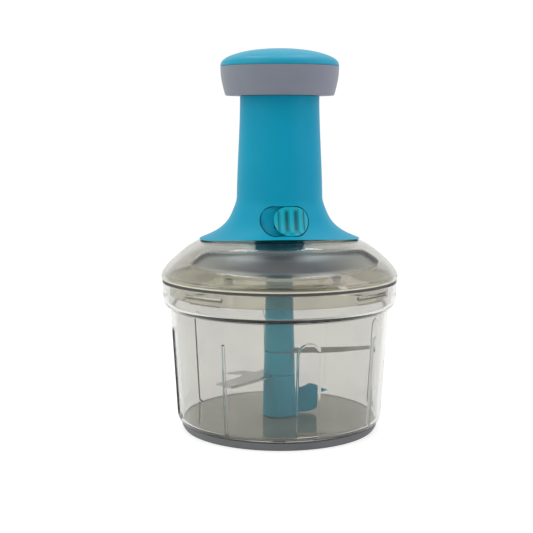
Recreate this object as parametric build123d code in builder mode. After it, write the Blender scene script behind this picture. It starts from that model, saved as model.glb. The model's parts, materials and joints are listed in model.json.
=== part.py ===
from build123d import *
from math import cos, hypot, radians, sin, sqrt
import os

os.makedirs("parts", exist_ok=True)

# A plunger food chopper. Pressing the knob drives a nut down a spiral spindle,
# which turns a stack of blades on a pin in the middle of a clear bowl.
# Millimetres. The origin is the middle of the base, +Z is up and the lock
# button faces -Y.

# Clearances
seat_gap = 0.1        # flat faces that rest on each other and come apart
running_gap = 0.08    # a shaft or tube that turns or slides in its bore
fit_gap = 0.05        # pieces pressed, snapped or screwed together
free_gap = 0.3        # moving pieces that pass without touching

# Non-slip base pad
pad_floor = 3.4
pad_height = 4.5
pad_radius = 56.8
pad_foot_radius = pad_radius - 1.4
pad_lip = 1.5
pad_ring_width = 9.5
pad_recess = 1.0
pad_bulge = 0.3

# Bowl
bowl_height = 81.9
bowl_floor = 2.6
bowl_wall = 2.3
bowl_corner_height = 4.2
bowl_overhang = 2.1       # pad to the foot of the bowl's wall
wall_flare = 3.6          # foot of the wall to the ledge under the rim
rim_flare = 4.5           # ledge to the rim
bowl_bottom_radius = pad_radius + bowl_overhang
bowl_ledge_radius = bowl_bottom_radius + wall_flare
rim_radius = bowl_ledge_radius + rim_flare
rim_height = 15.5
rim_shape = [(0.5, 0.09), (0.85, 0.25), (0.95, 0.52), (1.0, 1.0)]
inner_corner = 3.5
feature_turn = -81.0      # the first flute stands here, the ribs between the flutes
wall_feature_count = 4
rib_width = 1.5
rib_depth = 1.6
rib_height = 50.9
flute_width = 13.0
flute_depth = 0.9
flute_height = 53.5
lug_count = 4
lug_angle = 24.0
lug_depth = 2.0
lug_height = 2.4
lug_drop = 4.9            # rim top to the underside of a lug
pin_radius = 2.5
pin_length = 36.0
pin_boss_radius = 5.2
pin_boss_height = 3.2

# Seal and lid
seal_thickness = 1.3
seal_width = 4.6
lid_overhang = 0.5
lid_radius = rim_radius + lid_overhang
lid_shoulder = 1.7
lid_height = 25.1
lid_wall = 2.4
lid_land_radius = 33.0
lid_hole_radius = 22.6
lid_shape = [(0.154, 0.948), (0.368, 0.838), (0.594, 0.66), (0.823, 0.394), (0.959, 0.19)]
scoop_depth = 1.2
scoop_half_width = 48.4
scoop_side = [(0.82, 0.735), (1, 0.49), (0.93, 0.375)]    # shares of the half width and the lid's height
scoop_crown = 0.84
scoop_sill = 0.285
plate_thickness = 2.0
skirt_depth = 9.2
skirt_wall = 2.0
hook_angle = 20.0
hook_height = 2.4

# Neck
neck_height = 80.0        # flange edge to top rim
neck_wall = 2.3
throat_height = 24.1      # flange edge to the throat
throat_spread = 2.0       # the throat is this much wider than the top
flange_radius = 45.7
flange_rise = 21.9        # lid underside to the flange edge at the sides
flange_arch = 2.9         # front and back edges are this much higher
flare_shape = [(0.085, 0.29), (0.25, 0.577), (0.65, 0.863)]
hollow_shape = [(0.384, 0.4)]
neck_land_radius = 34.0
neck_land_width = 2.5
neck_screw_circle = 27.2
neck_screw_turn = 26.0    # from the X axis, both ways
neck_boss_wall = 1.5
key_width = 2.0

# Plunger tube and knob
tube_radius = 17.0
tube_wall = 2.0
stop_width = 1.6
stop_thickness = 2.5
stop_gap = 1.4            # round the stop flange, inside the neck
tube_rest_gap = 0.8       # bearing cap to tube, with the knob down
travel = 50.0
bush_lip = 1.1
bush_lip_thickness = 1.2
knob_radius = 33.3
grip_height = 16.0
grip_thickness = 5.8
grip_foot_radius = 30.9
grip_round = 0.8
grip_shape = [(0.28, 0.05), (0.5, 0.25), (0.7, 0.5), (0.88, 0.78), (1.0, 0.95)]
cap_height = 10.0
cap_wall = 2.4
knob_floor = 4.0
knob_base_wall = 2.0
tube_head_width = 6.8
tube_head_thickness = 2.2
knob_screw_count = 3
cap_shape = [(0.56, 0.89), (0.88, 0.55), (0.975, 0.28), (1.0, 0.08)]
cap_skirt_wall = 1.8
cap_skirt_depth = 9.0
snap_bead = 0.6           # holds the cap in the knob base
snap_drop = 5.2           # grip top to the bead
snap_height = 2.4
knob_base_drop = 1.4      # grip top to the top of the knob base
knob_screw_radius = 1.5

# Blade stack
post_top_radius = 7.6
post_bottom_radius = 9.7
post_core = 7.0           # across the flats of the square core
post_rise = 9.4           # above the lid plate's underside
fin_length = 8.0
fin_width = 1.6
fin_count = 4
post_ring = 1.9           # radial width of the fins
foot_height = 11.2
lower_spacer_height = 9.3
collar_height = 3.0
upper_spacer_height = 12.4
blade_thickness = 1.0
edge_bevel = 2.2
edge_bevel_depth = 0.45
hub_share = 0.86          # blade hub radius to the stack's radius
blade_tip_gap = 1.1       # upper blade to the inside of the wall's foot
upper_blade_reach = bowl_bottom_radius - bowl_wall - blade_tip_gap
upper_blade_width = 15.0
upper_blade_turn = -2.0
upper_blade_back = [(0.3, 0.42), (0.72, 0.48), (0.985, 0.62)]     # shares of reach and width
upper_blade_front = [(0.96, 0.1), (0.6, -0.38), (0, -0.42)]
lower_blade_reach = 46.0
lower_blade_width = 12.2
lower_blade_turn = -130.0
lower_blade_edge = [(0.99, 0.05), (0.6, 0.16), (0, 0.05)]         # shares of reach and width
lower_blade_back = [(0.55, -0.93), (0.94, -1.02)]
prong_reach = 30.3
prong_shape = [(0.28, -0.64), (0.61, -0.79), (0.5, -0.52)]        # shares of the prong's reach
paddle_reach = 28.7
paddle_height = 16.2
paddle_thickness = 2.2
paddle_turn = 6.0
paddle_edge = [(0.5, 0), (0.8, 0.22), (0.83, 0.55), (1, 0.76)]    # shares of reach and height
paddle_top = [(0.8, 0.92), (0.62, 1), (0.52, 0.92)]
paddle_neck = 0.9

# Drive
lead = 40.0
spindle_core_radius = 3.0
spindle_rib_radius = 4.6
spindle_rib_width = 2.2
spindle_overrun = 2.4     # past the nut at full travel
journal_radius = 5.0
spindle_flange_radius = 7.0
spindle_flange_thickness = 2.0
square_drive = 6.4
washer_thickness = 0.8
socket_radius = 12.0
socket_wall = 1.6
socket_web = 1.6
dog_width = 1.6
ratchet_height = 3.4
ratchet_count = 12
ratchet_depth = 1.0
ratchet_ramp = 0.82       # share of a tooth's pitch
pawl_count = 3
pawl_width = 1.1
pawl_sweep = 62.0
socket_journal_wall = 1.9
socket_journal_height = 5.0
bearing_wall = 2.9
nut_height = 8.0
nut_pin_radius = 1.25
spring_room = 23.4        # bearing cap to nut, with the knob down
spring_radius = 9.6
wire_radius = 0.8
spring_turns = 9
housing_base_radius = 38.0
housing_wall = 1.8
housing_rise = 18.0       # above the lid plate
housing_flange = 6.0
housing_waist = (0.62, 0.42)   # shares of the base radius and of the rise
housing_screw_inset = 3.2
cap_bottom_radius = 13.6
cap_top_radius = 15.3
bearing_cap_height = 5.0
screw_radius = 1.3
screw_head_radius = 2.7
screw_head_height = 1.6
screw_head_taper = 12
neck_screw_length = 7.0   # into the neck's bosses

# Lock
lock_rise = 34.1          # lid underside to the middle of the lock window
lock_travel = 7.0
button_width = 19.0
button_height = 14.7
button_proud = 0.5
button_rib_count = 3
button_rib_pitch = 5.0
button_rib_width = 1.9
button_rib_rise = 0.9
window_gap = 0.35
pocket_bend = 13.6        # radius where the pocket's floor follows the flare
pocket_turn = 60.0
pocket_wall = 1.8
lock_room = 3.0           # from the stop flange to the back of the pocket's wall
tongue_drop = 2.3
tongue_height = 4.0
tongue_thickness = 1.5
finger_width = 2.8
finger_bite = 3.5         # how far the finger goes into the tube
stem_width = 3.8
lock_screw_radius = 0.9
lock_screw_length = 4.5
lock_screw_head = 0.65
lock_screw_head_radius = 2.5

# Heights that follow
bowl_z = pad_floor
floor_z = bowl_z + bowl_floor
rim_z = bowl_z + bowl_height
ledge_z = rim_z - rim_height
seal_z = rim_z + seat_gap
lid_z = seal_z + seal_thickness + seat_gap
plate_top = lid_z + plate_thickness
lid_top = lid_z + lid_height
flange_z = lid_z + flange_rise
throat_z = flange_z + throat_height
neck_z = lid_top + fit_gap
neck_top = flange_z + neck_height
knob_z = neck_top + free_gap
grip_top = knob_z + grip_height
housing_top = plate_top + housing_rise
cap_seat = housing_top + bearing_cap_height
tube_z = cap_seat + tube_rest_gap
lock_z = lid_z + lock_rise
tongue_z = lock_z - tongue_drop

# Radii and places that follow
tube_bore = tube_radius - tube_wall
stop_radius = tube_radius + stop_width
neck_bore = stop_radius + stop_gap
neck_top_radius = neck_bore + neck_wall
throat_radius = neck_top_radius + throat_spread
bowl_foot_radius = pad_radius - pad_lip - fit_gap
rim_bore = rim_radius - bowl_wall
lug_bore = rim_bore - lug_depth
skirt_radius = lug_bore - 1.5 * free_gap
hook_radius = rim_bore - 2.5 * free_gap
grip_bore = knob_radius - grip_thickness
pad_face = stop_radius + lock_room
pocket_floor = pad_face + pocket_wall
tongue_face = pad_face - 2 * free_gap / 3
finger_tip = tube_radius - finger_bite
finger_x = sqrt(stop_radius ** 2 - finger_tip ** 2) + 1.4 * free_gap
button_x = lock_travel / 2


def outward(points):
    # unit normals of an open chain of points, to the left of its direction
    normals = []
    for i in range(len(points)):
        before = points[max(i - 1, 0)]
        after = points[min(i + 1, len(points) - 1)]
        run, rise = after[0] - before[0], after[1] - before[1]
        length = hypot(run, rise)
        normals.append((-rise / length, run / length))
    return normals


def inset(points, depth):
    # the same chain moved to its right by depth
    return [(p[0] - depth * n[0], p[1] - depth * n[1]) for p, n in zip(points, outward(points))]


def between(start, end, shape):
    # points given as shares of the way from start to end
    return [(start[0] + u * (end[0] - start[0]), start[1] + v * (end[1] - start[1])) for u, v in shape]


# Base pad ---------------------------------------------------------------------
with BuildPart() as base_pad:
    with BuildSketch(Plane.XZ):
        with BuildLine():
            Polyline(
                (0, pad_recess),
                (pad_foot_radius - pad_ring_width, pad_recess),
                (pad_foot_radius - pad_ring_width + pad_recess, 0),
                (pad_foot_radius, 0),
            )
            ThreePointArc(
                (pad_foot_radius, 0),
                ((pad_foot_radius + pad_radius) / 2 + pad_bulge, pad_height / 2),
                (pad_radius, pad_height),
            )
            Polyline(
                (pad_radius, pad_height),
                (pad_radius - pad_lip, pad_height),
                (pad_radius - pad_lip, pad_floor),
                (0, pad_floor),
                (0, pad_recess),
            )
        make_face()
    revolve(axis=Axis.Z)
base_pad.part.label = "base_pad"
export_step(base_pad.part, "parts/base_pad.step")

# Bowl -------------------------------------------------------------------------
bowl_shoulder_z = pad_height + bowl_corner_height
rim_curve = [(bowl_ledge_radius, ledge_z)]
rim_curve += between((bowl_ledge_radius, ledge_z), (rim_radius, rim_z), rim_shape)
rim_inner = [(r - bowl_wall, z + bowl_wall * 0.3 * (rim_z - z) / rim_height) for r, z in rim_curve]
wall_slope = (bowl_ledge_radius - bowl_bottom_radius) / (ledge_z - bowl_shoulder_z)


def wall_radius(z):
    # outside radius of the bowl's tapered wall
    return bowl_bottom_radius + wall_slope * (z - bowl_shoulder_z)


with BuildPart() as bowl:
    with BuildSketch(Plane.XZ) as bowl_section:
        with BuildLine():
            Polyline(
                (0, floor_z),
                (0, bowl_z),
                (bowl_foot_radius, bowl_z),
                (bowl_foot_radius, pad_height + fit_gap),
                (pad_radius - fit_gap, pad_height + fit_gap),
            )
            RadiusArc(
                (pad_radius - fit_gap, pad_height + fit_gap),
                (bowl_bottom_radius, bowl_shoulder_z),
                -1.4 * bowl_corner_height,
            )
            Line((bowl_bottom_radius, bowl_shoulder_z), rim_curve[0])
            Spline(*rim_curve, tangents=[(1, 0.35), (0.02, 1)])
            Line(rim_curve[-1], rim_inner[-1])
            Spline(*rim_inner[::-1], tangents=[(-0.02, -1), (-1, -0.35)])
            Polyline(
                rim_inner[0],
                (wall_radius(floor_z) - bowl_wall, floor_z),
                (0, floor_z),
            )
        make_face()
        inside_corner = (wall_radius(floor_z) - bowl_wall, floor_z)
        fillet(bowl_section.vertices().sort_by_distance(inside_corner)[0], inner_corner)
    revolve(axis=Axis.Z)
    # upright ribs inside the wall, which stop the food from going round with the blades
    with BuildSketch(Plane.XZ, mode=Mode.PRIVATE) as rib_section:
        rib_top = floor_z + rib_height
        with BuildLine():
            Polyline(
                (wall_radius(floor_z) - bowl_wall / 2, floor_z - bowl_floor / 2),
                (wall_radius(floor_z) - bowl_wall - 1.8 * rib_depth, floor_z - bowl_floor / 2),
                (wall_radius(floor_z) - bowl_wall - 1.8 * rib_depth, floor_z),
                (wall_radius(floor_z + 2 * inner_corner) - bowl_wall - rib_depth, floor_z + 2 * inner_corner),
                (wall_radius(rib_top - rib_depth) - bowl_wall - rib_depth, rib_top - rib_depth),
                (wall_radius(rib_top) - bowl_wall, rib_top),
                (wall_radius(rib_top) - bowl_wall / 2, rib_top),
                close=True,
            )
        make_face()
    rib_blank = extrude(rib_section.sketch, rib_width / 2, both=True, mode=Mode.PRIVATE)
    for i in range(wall_feature_count):
        turn = feature_turn + 180.0 / wall_feature_count + i * 360.0 / wall_feature_count
        add(rib_blank.rotate(Axis.Z, turn))
    # shallow arch-topped flutes in the outside of the wall
    flute_plane = Plane.YZ.offset(bowl_bottom_radius - 2 * bowl_wall)
    with BuildSketch(flute_plane, mode=Mode.PRIVATE) as flute_outline:
        flute_top = floor_z + flute_height
        with Locations((0, (floor_z + flute_top - flute_width / 2) / 2)):
            Rectangle(flute_width, flute_top - flute_width / 2 - floor_z)
        with Locations((0, flute_top - flute_width / 2)):
            Circle(flute_width / 2)
    flute_block = extrude(flute_outline.sketch, 6 * bowl_wall, mode=Mode.PRIVATE)
    with BuildSketch(Plane.XZ, mode=Mode.PRIVATE) as flute_back:
        with BuildLine():
            Polyline(
                (0, 0),
                (wall_radius(0) - flute_depth, 0),
                (wall_radius(ledge_z) - flute_depth, ledge_z),
                (0, ledge_z),
                close=True,
            )
        make_face()
    flute_core = revolve(flute_back.sketch, axis=Axis.Z, mode=Mode.PRIVATE)
    flute = flute_block - flute_core
    for i in range(wall_feature_count):
        turn = feature_turn + i * 360.0 / wall_feature_count
        add(flute.rotate(Axis.Z, turn), mode=Mode.SUBTRACT)
    # bayonet lugs inside the rim
    with BuildSketch(Plane.XZ, mode=Mode.PRIVATE) as lug_section:
        lug_z = rim_z - lug_drop
        with BuildLine():
            Polyline(
                (lug_bore, lug_z),
                (rim_bore + bowl_wall / 2, lug_z),
                (rim_bore + bowl_wall / 2, lug_z + lug_height + lug_depth / 2),
                (lug_bore, lug_z + lug_height),
                close=True,
            )
        make_face()
    lug = revolve(lug_section.sketch, axis=Axis.Z, revolution_arc=lug_angle, mode=Mode.PRIVATE)
    for i in range(lug_count):
        add(lug.rotate(Axis.Z, i * 360.0 / lug_count - lug_angle / 2 + 180.0 / lug_count))
    # boss for the pin
    with BuildSketch(Plane.XY.offset(floor_z)):
        Circle(pin_boss_radius)
    extrude(amount=pin_boss_height, taper=6)
    with Locations((0, 0, floor_z + pin_boss_height)):
        Hole(pin_radius + fit_gap, depth=pin_boss_height + bowl_floor / 2)
bowl.part.label = "bowl"
export_step(bowl.part, "parts/bowl.step")

# Pivot pin --------------------------------------------------------------------
pin_z = floor_z - bowl_floor / 2
with BuildPart() as pivot_pin:
    with BuildSketch(Plane.XY.offset(pin_z)):
        Circle(pin_radius)
    extrude(amount=pin_length)
    fillet(pivot_pin.faces().sort_by(Axis.Z)[-1].edges(), 0.6 * pin_radius)
pivot_pin.part.label = "pivot_pin"
export_step(pivot_pin.part, "parts/pivot_pin.step")

# Blade stack ------------------------------------------------------------------
foot_z = floor_z + free_gap
lower_spacer_z = foot_z + foot_height
collar_z = lower_spacer_z + lower_spacer_height
lower_blade_z = collar_z + collar_height
upper_spacer_z = lower_blade_z + blade_thickness
upper_blade_z = upper_spacer_z + upper_spacer_height
post_z = upper_blade_z + blade_thickness
post_top = lid_z + post_rise
fin_z = post_top - fin_length
post_slope = (post_bottom_radius - post_top_radius) / (fin_z - foot_z)
core_z = foot_z + pin_boss_height + 2 * free_gap


def post_radius(z):
    # outside radius of the tapered stack
    return post_bottom_radius - post_slope * (z - foot_z)


def stack_ring(low, high):
    # one tapered ring of the stack with the square hole for the core
    with BuildPart() as ring:
        with BuildSketch(Plane.XZ):
            with BuildLine():
                Polyline(
                    (0, low),
                    (post_radius(low), low),
                    (post_radius(high), high),
                    (0, high),
                    close=True,
                )
            make_face()
        revolve(axis=Axis.Z)
        with BuildSketch(Plane.XY.offset(low)):
            Rectangle(post_core + 2 * fit_gap, post_core + 2 * fit_gap)
        extrude(amount=high - low, mode=Mode.SUBTRACT)
    return ring.part


with BuildPart() as blade_post:
    with BuildSketch(Plane.XZ):
        with BuildLine():
            Polyline(
                (0, post_z),
                (post_radius(post_z), post_z),
                (post_top_radius, fin_z),
                (post_top_radius - post_ring, fin_z + post_ring / 2),
                (post_top_radius - post_ring, post_top - post_ring),
                (post_top_radius - 2 * post_ring, post_top),
                (0, post_top),
                close=True,
            )
        make_face()
    revolve(axis=Axis.Z)
    # fins that the drive socket turns
    with BuildSketch(Plane.XZ, mode=Mode.PRIVATE) as fin_section:
        with BuildLine():
            Polyline(
                (post_top_radius - 2 * post_ring, fin_z),
                (post_top_radius, fin_z),
                (post_top_radius, post_top - 1.5 * post_ring),
                (post_top_radius - 1.5 * post_ring, post_top),
                (post_top_radius - 2 * post_ring, post_top),
                close=True,
            )
        make_face()
    fin = extrude(fin_section.sketch, fin_width / 2, both=True, mode=Mode.PRIVATE)
    for i in range(fin_count):
        add(fin.rotate(Axis.Z, (i + 0.5) * 360.0 / fin_count))
    # square core down through the stack, bored for the pin
    with BuildSketch(Plane.XY.offset(core_z)):
        Rectangle(post_core, post_core)
    extrude(amount=post_z - core_z)
    with BuildSketch(Plane.XY.offset(core_z)):
        Circle(pin_radius + running_gap)
    extrude(amount=pin_z + pin_length + free_gap - core_z, mode=Mode.SUBTRACT)
blade_post.part.label = "blade_post"
export_step(blade_post.part, "parts/blade_post.step")

upper_spacer = stack_ring(upper_spacer_z, upper_blade_z)
upper_spacer.label = "upper_spacer"
export_step(upper_spacer, "parts/upper_spacer.step")

blade_collar = stack_ring(collar_z, lower_blade_z)
blade_collar.label = "blade_collar"
export_step(blade_collar, "parts/blade_collar.step")

lower_spacer = stack_ring(lower_spacer_z, collar_z)
lower_spacer.label = "lower_spacer"
export_step(lower_spacer, "parts/lower_spacer.step")

# Steel blades, each with a hub between two rings of the stack
upper_blade_plane = Plane.XY.offset(upper_blade_z).rotated((0, 0, upper_blade_turn))
with BuildPart() as upper_blade:
    with BuildSketch(upper_blade_plane):
        back = between((0, 0), (upper_blade_reach, upper_blade_width), upper_blade_back)
        front = between((0, 0), (upper_blade_reach, upper_blade_width), upper_blade_front)
        with BuildLine():
            Polyline(front[-1], (0, back[0][1]), back[0])
            Spline(*back, tangents=[(1, 0), (1, 0.35)])
            Line(back[-1], front[0])
            Spline(*front, tangents=[(-1, -0.3), (-1, 0)])
        make_face()
        Circle(hub_share * post_radius(upper_blade_z))
    extrude(amount=blade_thickness)
    edge_point = upper_blade_plane.from_local_coords(
        (back[1][0], back[1][1], blade_thickness)
    )
    cutting_edge = upper_blade.faces().sort_by(Axis.Z)[-1].edges().sort_by_distance(edge_point)[0]
    chamfer(cutting_edge, length=edge_bevel_depth, length2=edge_bevel)
    with BuildSketch(Plane.XY.offset(upper_blade_z)):
        Rectangle(post_core + 2 * fit_gap, post_core + 2 * fit_gap)
    extrude(amount=blade_thickness, mode=Mode.SUBTRACT)
upper_blade.part.label = "upper_blade"
export_step(upper_blade.part, "parts/upper_blade.step")

lower_blade_plane = Plane.XY.offset(lower_blade_z).rotated((0, 0, lower_blade_turn))
with BuildPart() as lower_blade:
    with BuildSketch(lower_blade_plane):
        edge = between((0, 0), (lower_blade_reach, lower_blade_width), lower_blade_edge)
        back = between((0, 0), (lower_blade_reach, lower_blade_width), lower_blade_back)
        prong = between((0, 0), (prong_reach, prong_reach), prong_shape)
        with BuildLine():
            Polyline(edge[-1], (0, back[0][1]), (prong[0][0], back[0][1]), prong[0], prong[1])
            Spline(prong[1], prong[2], back[0], tangents=[(-0.3, 1), (1, 0.1)])
            Polyline(back[0], back[1], edge[0])
            Spline(*edge, tangents=[(-1, 0.1), (-1, -0.1)])
        make_face()
        Circle(hub_share * post_radius(lower_blade_z))
    extrude(amount=blade_thickness)
    edge_point = lower_blade_plane.from_local_coords(
        (edge[1][0], edge[1][1], blade_thickness)
    )
    cutting_edge = lower_blade.faces().sort_by(Axis.Z)[-1].edges().sort_by_distance(edge_point)[0]
    chamfer(cutting_edge, length=edge_bevel_depth, length2=edge_bevel)
    with BuildSketch(Plane.XY.offset(lower_blade_z)):
        Rectangle(post_core + 2 * fit_gap, post_core + 2 * fit_gap)
    extrude(amount=blade_thickness, mode=Mode.SUBTRACT)
lower_blade.part.label = "lower_blade"
export_step(lower_blade.part, "parts/lower_blade.step")

# Stirring paddle, the bottom of the stack
paddle_hub = stack_ring(foot_z, lower_spacer_z)
with BuildPart() as stirring_paddle:
    add(paddle_hub)
    with BuildSketch(Plane.XY.offset(foot_z)):
        Circle(pin_boss_radius + free_gap)
    extrude(amount=pin_boss_height + free_gap, mode=Mode.SUBTRACT)
    paddle_z = foot_z + free_gap
    paddle_root = post_radius(foot_z)
    hub_top = lower_spacer_z - free_gap
    paddle_plane = Plane.XZ.rotated((0, 0, paddle_turn))
    with BuildSketch(paddle_plane, mode=Mode.PRIVATE) as paddle_outline:
        low, high = (0, paddle_z), (paddle_reach, paddle_z + paddle_height)
        edge = between(low, high, paddle_edge)
        top = between(low, high, paddle_top)
        neck = (paddle_root + free_gap, paddle_z + paddle_neck * paddle_height)
        inside = 0.7 * paddle_root
        with BuildLine():
            Line((inside, paddle_z), edge[0])
            Spline(*edge, tangents=[(1, 0), (1, 0.15)])
            Spline(edge[-1], *top, neck, tangents=[(-1, 0.3), (-1, 0)])
            Polyline(neck, (neck[0], hub_top), (inside, hub_top), (inside, paddle_z))
        make_face()
    extrude(paddle_outline.sketch, paddle_thickness / 2, both=True)
stirring_paddle.part.label = "stirring_paddle"
export_step(stirring_paddle.part, "parts/stirring_paddle.step")

# Seal ring --------------------------------------------------------------------
with BuildPart() as seal_ring:
    with BuildSketch(Plane.XY.offset(seal_z)):
        Circle(rim_radius)
        Circle(rim_radius - seal_width, mode=Mode.SUBTRACT)
    extrude(amount=seal_thickness)
    fillet(seal_ring.edges().filter_by(GeomType.CIRCLE).sort_by(SortBy.RADIUS)[-2:], 0.35 * seal_thickness)
seal_ring.part.label = "seal_ring"
export_step(seal_ring.part, "parts/seal_ring.step")

# Lid --------------------------------------------------------------------------
lid_start = (lid_land_radius, lid_top)
lid_end = (lid_radius, lid_z + lid_shoulder)
lid_curve = [lid_start]
lid_curve += [
    (lid_start[0] + u * (lid_end[0] - lid_start[0]), lid_z + v * lid_height) for u, v in lid_shape
]
lid_curve += [lid_end]
plate_radius = lid_radius - lid_wall - fit_gap


def lid_skin(depth):
    # a solid of revolution with the lid's outer form, depth below its surface
    curve = inset(lid_curve, depth)
    with BuildPart() as skin:
        with BuildSketch(Plane.XZ):
            with BuildLine():
                Line((0, lid_z), (0, curve[0][1]))
                Line((0, curve[0][1]), curve[0])
                Spline(*curve, tangents=[(1, -0.1), (0, -1)])
                Line(curve[-1], (curve[-1][0], lid_z))
                Line((curve[-1][0], lid_z), (0, lid_z))
            make_face()
        revolve(axis=Axis.Z)
    return skin.part


neck_screw_x = neck_screw_circle * cos(radians(neck_screw_turn))
neck_screw_y = neck_screw_circle * sin(radians(neck_screw_turn))
neck_screw_places = [(x, y) for x in (-neck_screw_x, neck_screw_x) for y in (-neck_screw_y, neck_screw_y)]
lid_outside = lid_skin(0)
lid_inside = lid_skin(lid_wall)
scoop_floor = lid_skin(scoop_depth)
with BuildPart() as lid_dome:
    add(lid_outside)
    add(lid_inside, mode=Mode.SUBTRACT)
    with BuildSketch(Plane.XY.offset(lid_top)):
        Circle(lid_hole_radius)
    extrude(amount=-3 * lid_wall, mode=Mode.SUBTRACT)
    # finger scoops, front and back
    with BuildSketch(Plane.XZ, mode=Mode.PRIVATE) as scoop_outline:
        right = between((0, lid_z), (scoop_half_width, lid_top), scoop_side)
        left = [(-x, z) for x, z in right]
        with BuildLine():
            ThreePointArc(left[0], (0, lid_z + scoop_crown * lid_height), right[0])
            Polyline(*right)
            ThreePointArc(right[-1], (0, lid_z + scoop_sill * lid_height), left[-1])
            Polyline(*left[::-1])
        make_face()
        fillet(scoop_outline.vertices(), 0.8 * lid_wall)
    scoop_block = extrude(scoop_outline.sketch, 2 * lid_radius, both=True, mode=Mode.PRIVATE)
    add(scoop_block - scoop_floor, mode=Mode.SUBTRACT)
    # clearance holes for the neck screws
    with Locations(*[(x, y, lid_top) for x, y in neck_screw_places]):
        Hole(screw_radius + free_gap, depth=3 * lid_wall)
lid_dome.part.label = "lid_dome"
export_step(lid_dome.part, "parts/lid_dome.step")

# Lid plate with the skirt and the bayonet hooks
housing_screw_circle = housing_base_radius - housing_screw_inset
housing_screw_places = [
    (housing_screw_circle * cos(radians(turn)), housing_screw_circle * sin(radians(turn)))
    for turn in (90, 210, 330)
]
hub_bore = post_top_radius + 3 * free_gap
with BuildPart() as lid_plate:
    with BuildSketch(Plane.XY.offset(lid_z)):
        Circle(plate_radius)
        Circle(hub_bore, mode=Mode.SUBTRACT)
    extrude(amount=plate_thickness)
    with BuildSketch(Plane.XY.offset(lid_z)):
        Circle(skirt_radius)
        Circle(skirt_radius - skirt_wall, mode=Mode.SUBTRACT)
    extrude(amount=-skirt_depth)
    with BuildSketch(Plane.XZ, mode=Mode.PRIVATE) as hook_section:
        with BuildLine():
            Polyline(
                (skirt_radius - skirt_wall / 2, lid_z - skirt_depth),
                (hook_radius - 0.4 * hook_height, lid_z - skirt_depth),
                (hook_radius, lid_z - skirt_depth + 0.4 * hook_height),
                (hook_radius, lid_z - skirt_depth + hook_height),
                (skirt_radius - skirt_wall / 2, lid_z - skirt_depth + hook_height),
                close=True,
            )
        make_face()
    hook = revolve(hook_section.sketch, axis=Axis.Z, revolution_arc=hook_angle, mode=Mode.PRIVATE)
    for i in range(lug_count):
        add(hook.rotate(Axis.Z, i * 360.0 / lug_count - hook_angle / 2 + 180.0 / lug_count))
    # journal for the drive socket
    with BuildSketch(Plane.XY.offset(plate_top)):
        Circle(socket_radius + running_gap + socket_journal_wall)
        Circle(socket_radius + running_gap, mode=Mode.SUBTRACT)
    extrude(amount=socket_journal_height)
    with Locations(*[(x, y, plate_top) for x, y in housing_screw_places]):
        Hole(screw_radius + free_gap, depth=plate_thickness)
lid_plate.part.label = "lid_plate"
export_step(lid_plate.part, "parts/lid_plate.step")

# Drive ------------------------------------------------------------------------
with BuildPart() as thrust_washer:
    with BuildSketch(Plane.XY.offset(plate_top)):
        Circle(socket_radius - running_gap)
        Circle(hub_bore, mode=Mode.SUBTRACT)
    extrude(amount=washer_thickness)
thrust_washer.part.label = "thrust_washer"
export_step(thrust_washer.part, "parts/thrust_washer.step")

socket_z = plate_top + washer_thickness + fit_gap
socket_web_z = post_top + 2 * free_gap
ratchet_z = socket_web_z + socket_web
socket_top = ratchet_z + ratchet_height
socket_bore = post_top_radius + 2 * free_gap
dog_bore = post_top_radius - post_ring + free_gap
ratchet_bore = socket_radius - socket_wall

with BuildPart() as drive_socket:
    with BuildSketch(Plane.XY.offset(socket_z)):
        Circle(socket_radius)
    extrude(amount=socket_top - socket_z)
    with BuildSketch(Plane.XY.offset(socket_z)):
        Circle(socket_bore)
    extrude(amount=socket_web_z - socket_z, mode=Mode.SUBTRACT)
    # dogs that push the fins of the post round
    with BuildSketch(Plane.XY.offset(socket_z)):
        with PolarLocations((dog_bore + socket_bore + socket_wall) / 2, fin_count):
            Rectangle(socket_bore + socket_wall - dog_bore, dog_width)
    extrude(amount=socket_web_z - socket_z)
    # ratchet ring with one-way teeth
    with BuildSketch(Plane.XY.offset(ratchet_z)):
        Circle(ratchet_bore)
        tooth_angle = 360.0 / ratchet_count
        with BuildLine(mode=Mode.PRIVATE) as tooth_line:
            tip = ratchet_bore - ratchet_depth
            heel_angle = radians(ratchet_ramp * tooth_angle)
            outside = ratchet_bore + 0.5 * socket_wall
            Polyline(
                (tip, 0),
                (outside, 0),
                (outside * cos(heel_angle), outside * sin(heel_angle)),
                (ratchet_bore * cos(heel_angle), ratchet_bore * sin(heel_angle)),
                close=True,
            )
        tooth = make_face(tooth_line.edges(), mode=Mode.PRIVATE)
        for i in range(ratchet_count):
            add(tooth.rotate(Axis.Z, i * tooth_angle), mode=Mode.SUBTRACT)
    extrude(amount=ratchet_height, mode=Mode.SUBTRACT)
drive_socket.part.label = "drive_socket"
export_step(drive_socket.part, "parts/drive_socket.step")

pawl_line = ratchet_bore - ratchet_depth - free_gap - pawl_width / 2
pawl_hub_radius = 0.88 * square_drive
with BuildPart() as pawl_wheel:
    with BuildSketch(Plane.XY.offset(ratchet_z + fit_gap)):
        Circle(pawl_hub_radius)
        # springy arms that catch the teeth one way and ride over them the other
        for i in range(pawl_count):
            start_turn = i * 360.0 / pawl_count
            with BuildLine(mode=Mode.PRIVATE) as arm_line:
                CenterArc((0, 0), pawl_line, start_turn, pawl_sweep)
            with BuildLine(mode=Mode.PRIVATE) as root_line:
                PolarLine((0, 0), pawl_line, start_turn)
            add(SlotArc(arm_line.edges()[0], pawl_width, mode=Mode.PRIVATE))
            add(SlotArc(root_line.edges()[0], pawl_width, mode=Mode.PRIVATE))
        Rectangle(square_drive + 2 * fit_gap, square_drive + 2 * fit_gap, mode=Mode.SUBTRACT)
    extrude(amount=ratchet_height - 4 * fit_gap)
pawl_wheel.part.label = "pawl_wheel"
export_step(pawl_wheel.part, "parts/pawl_wheel.step")

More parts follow.
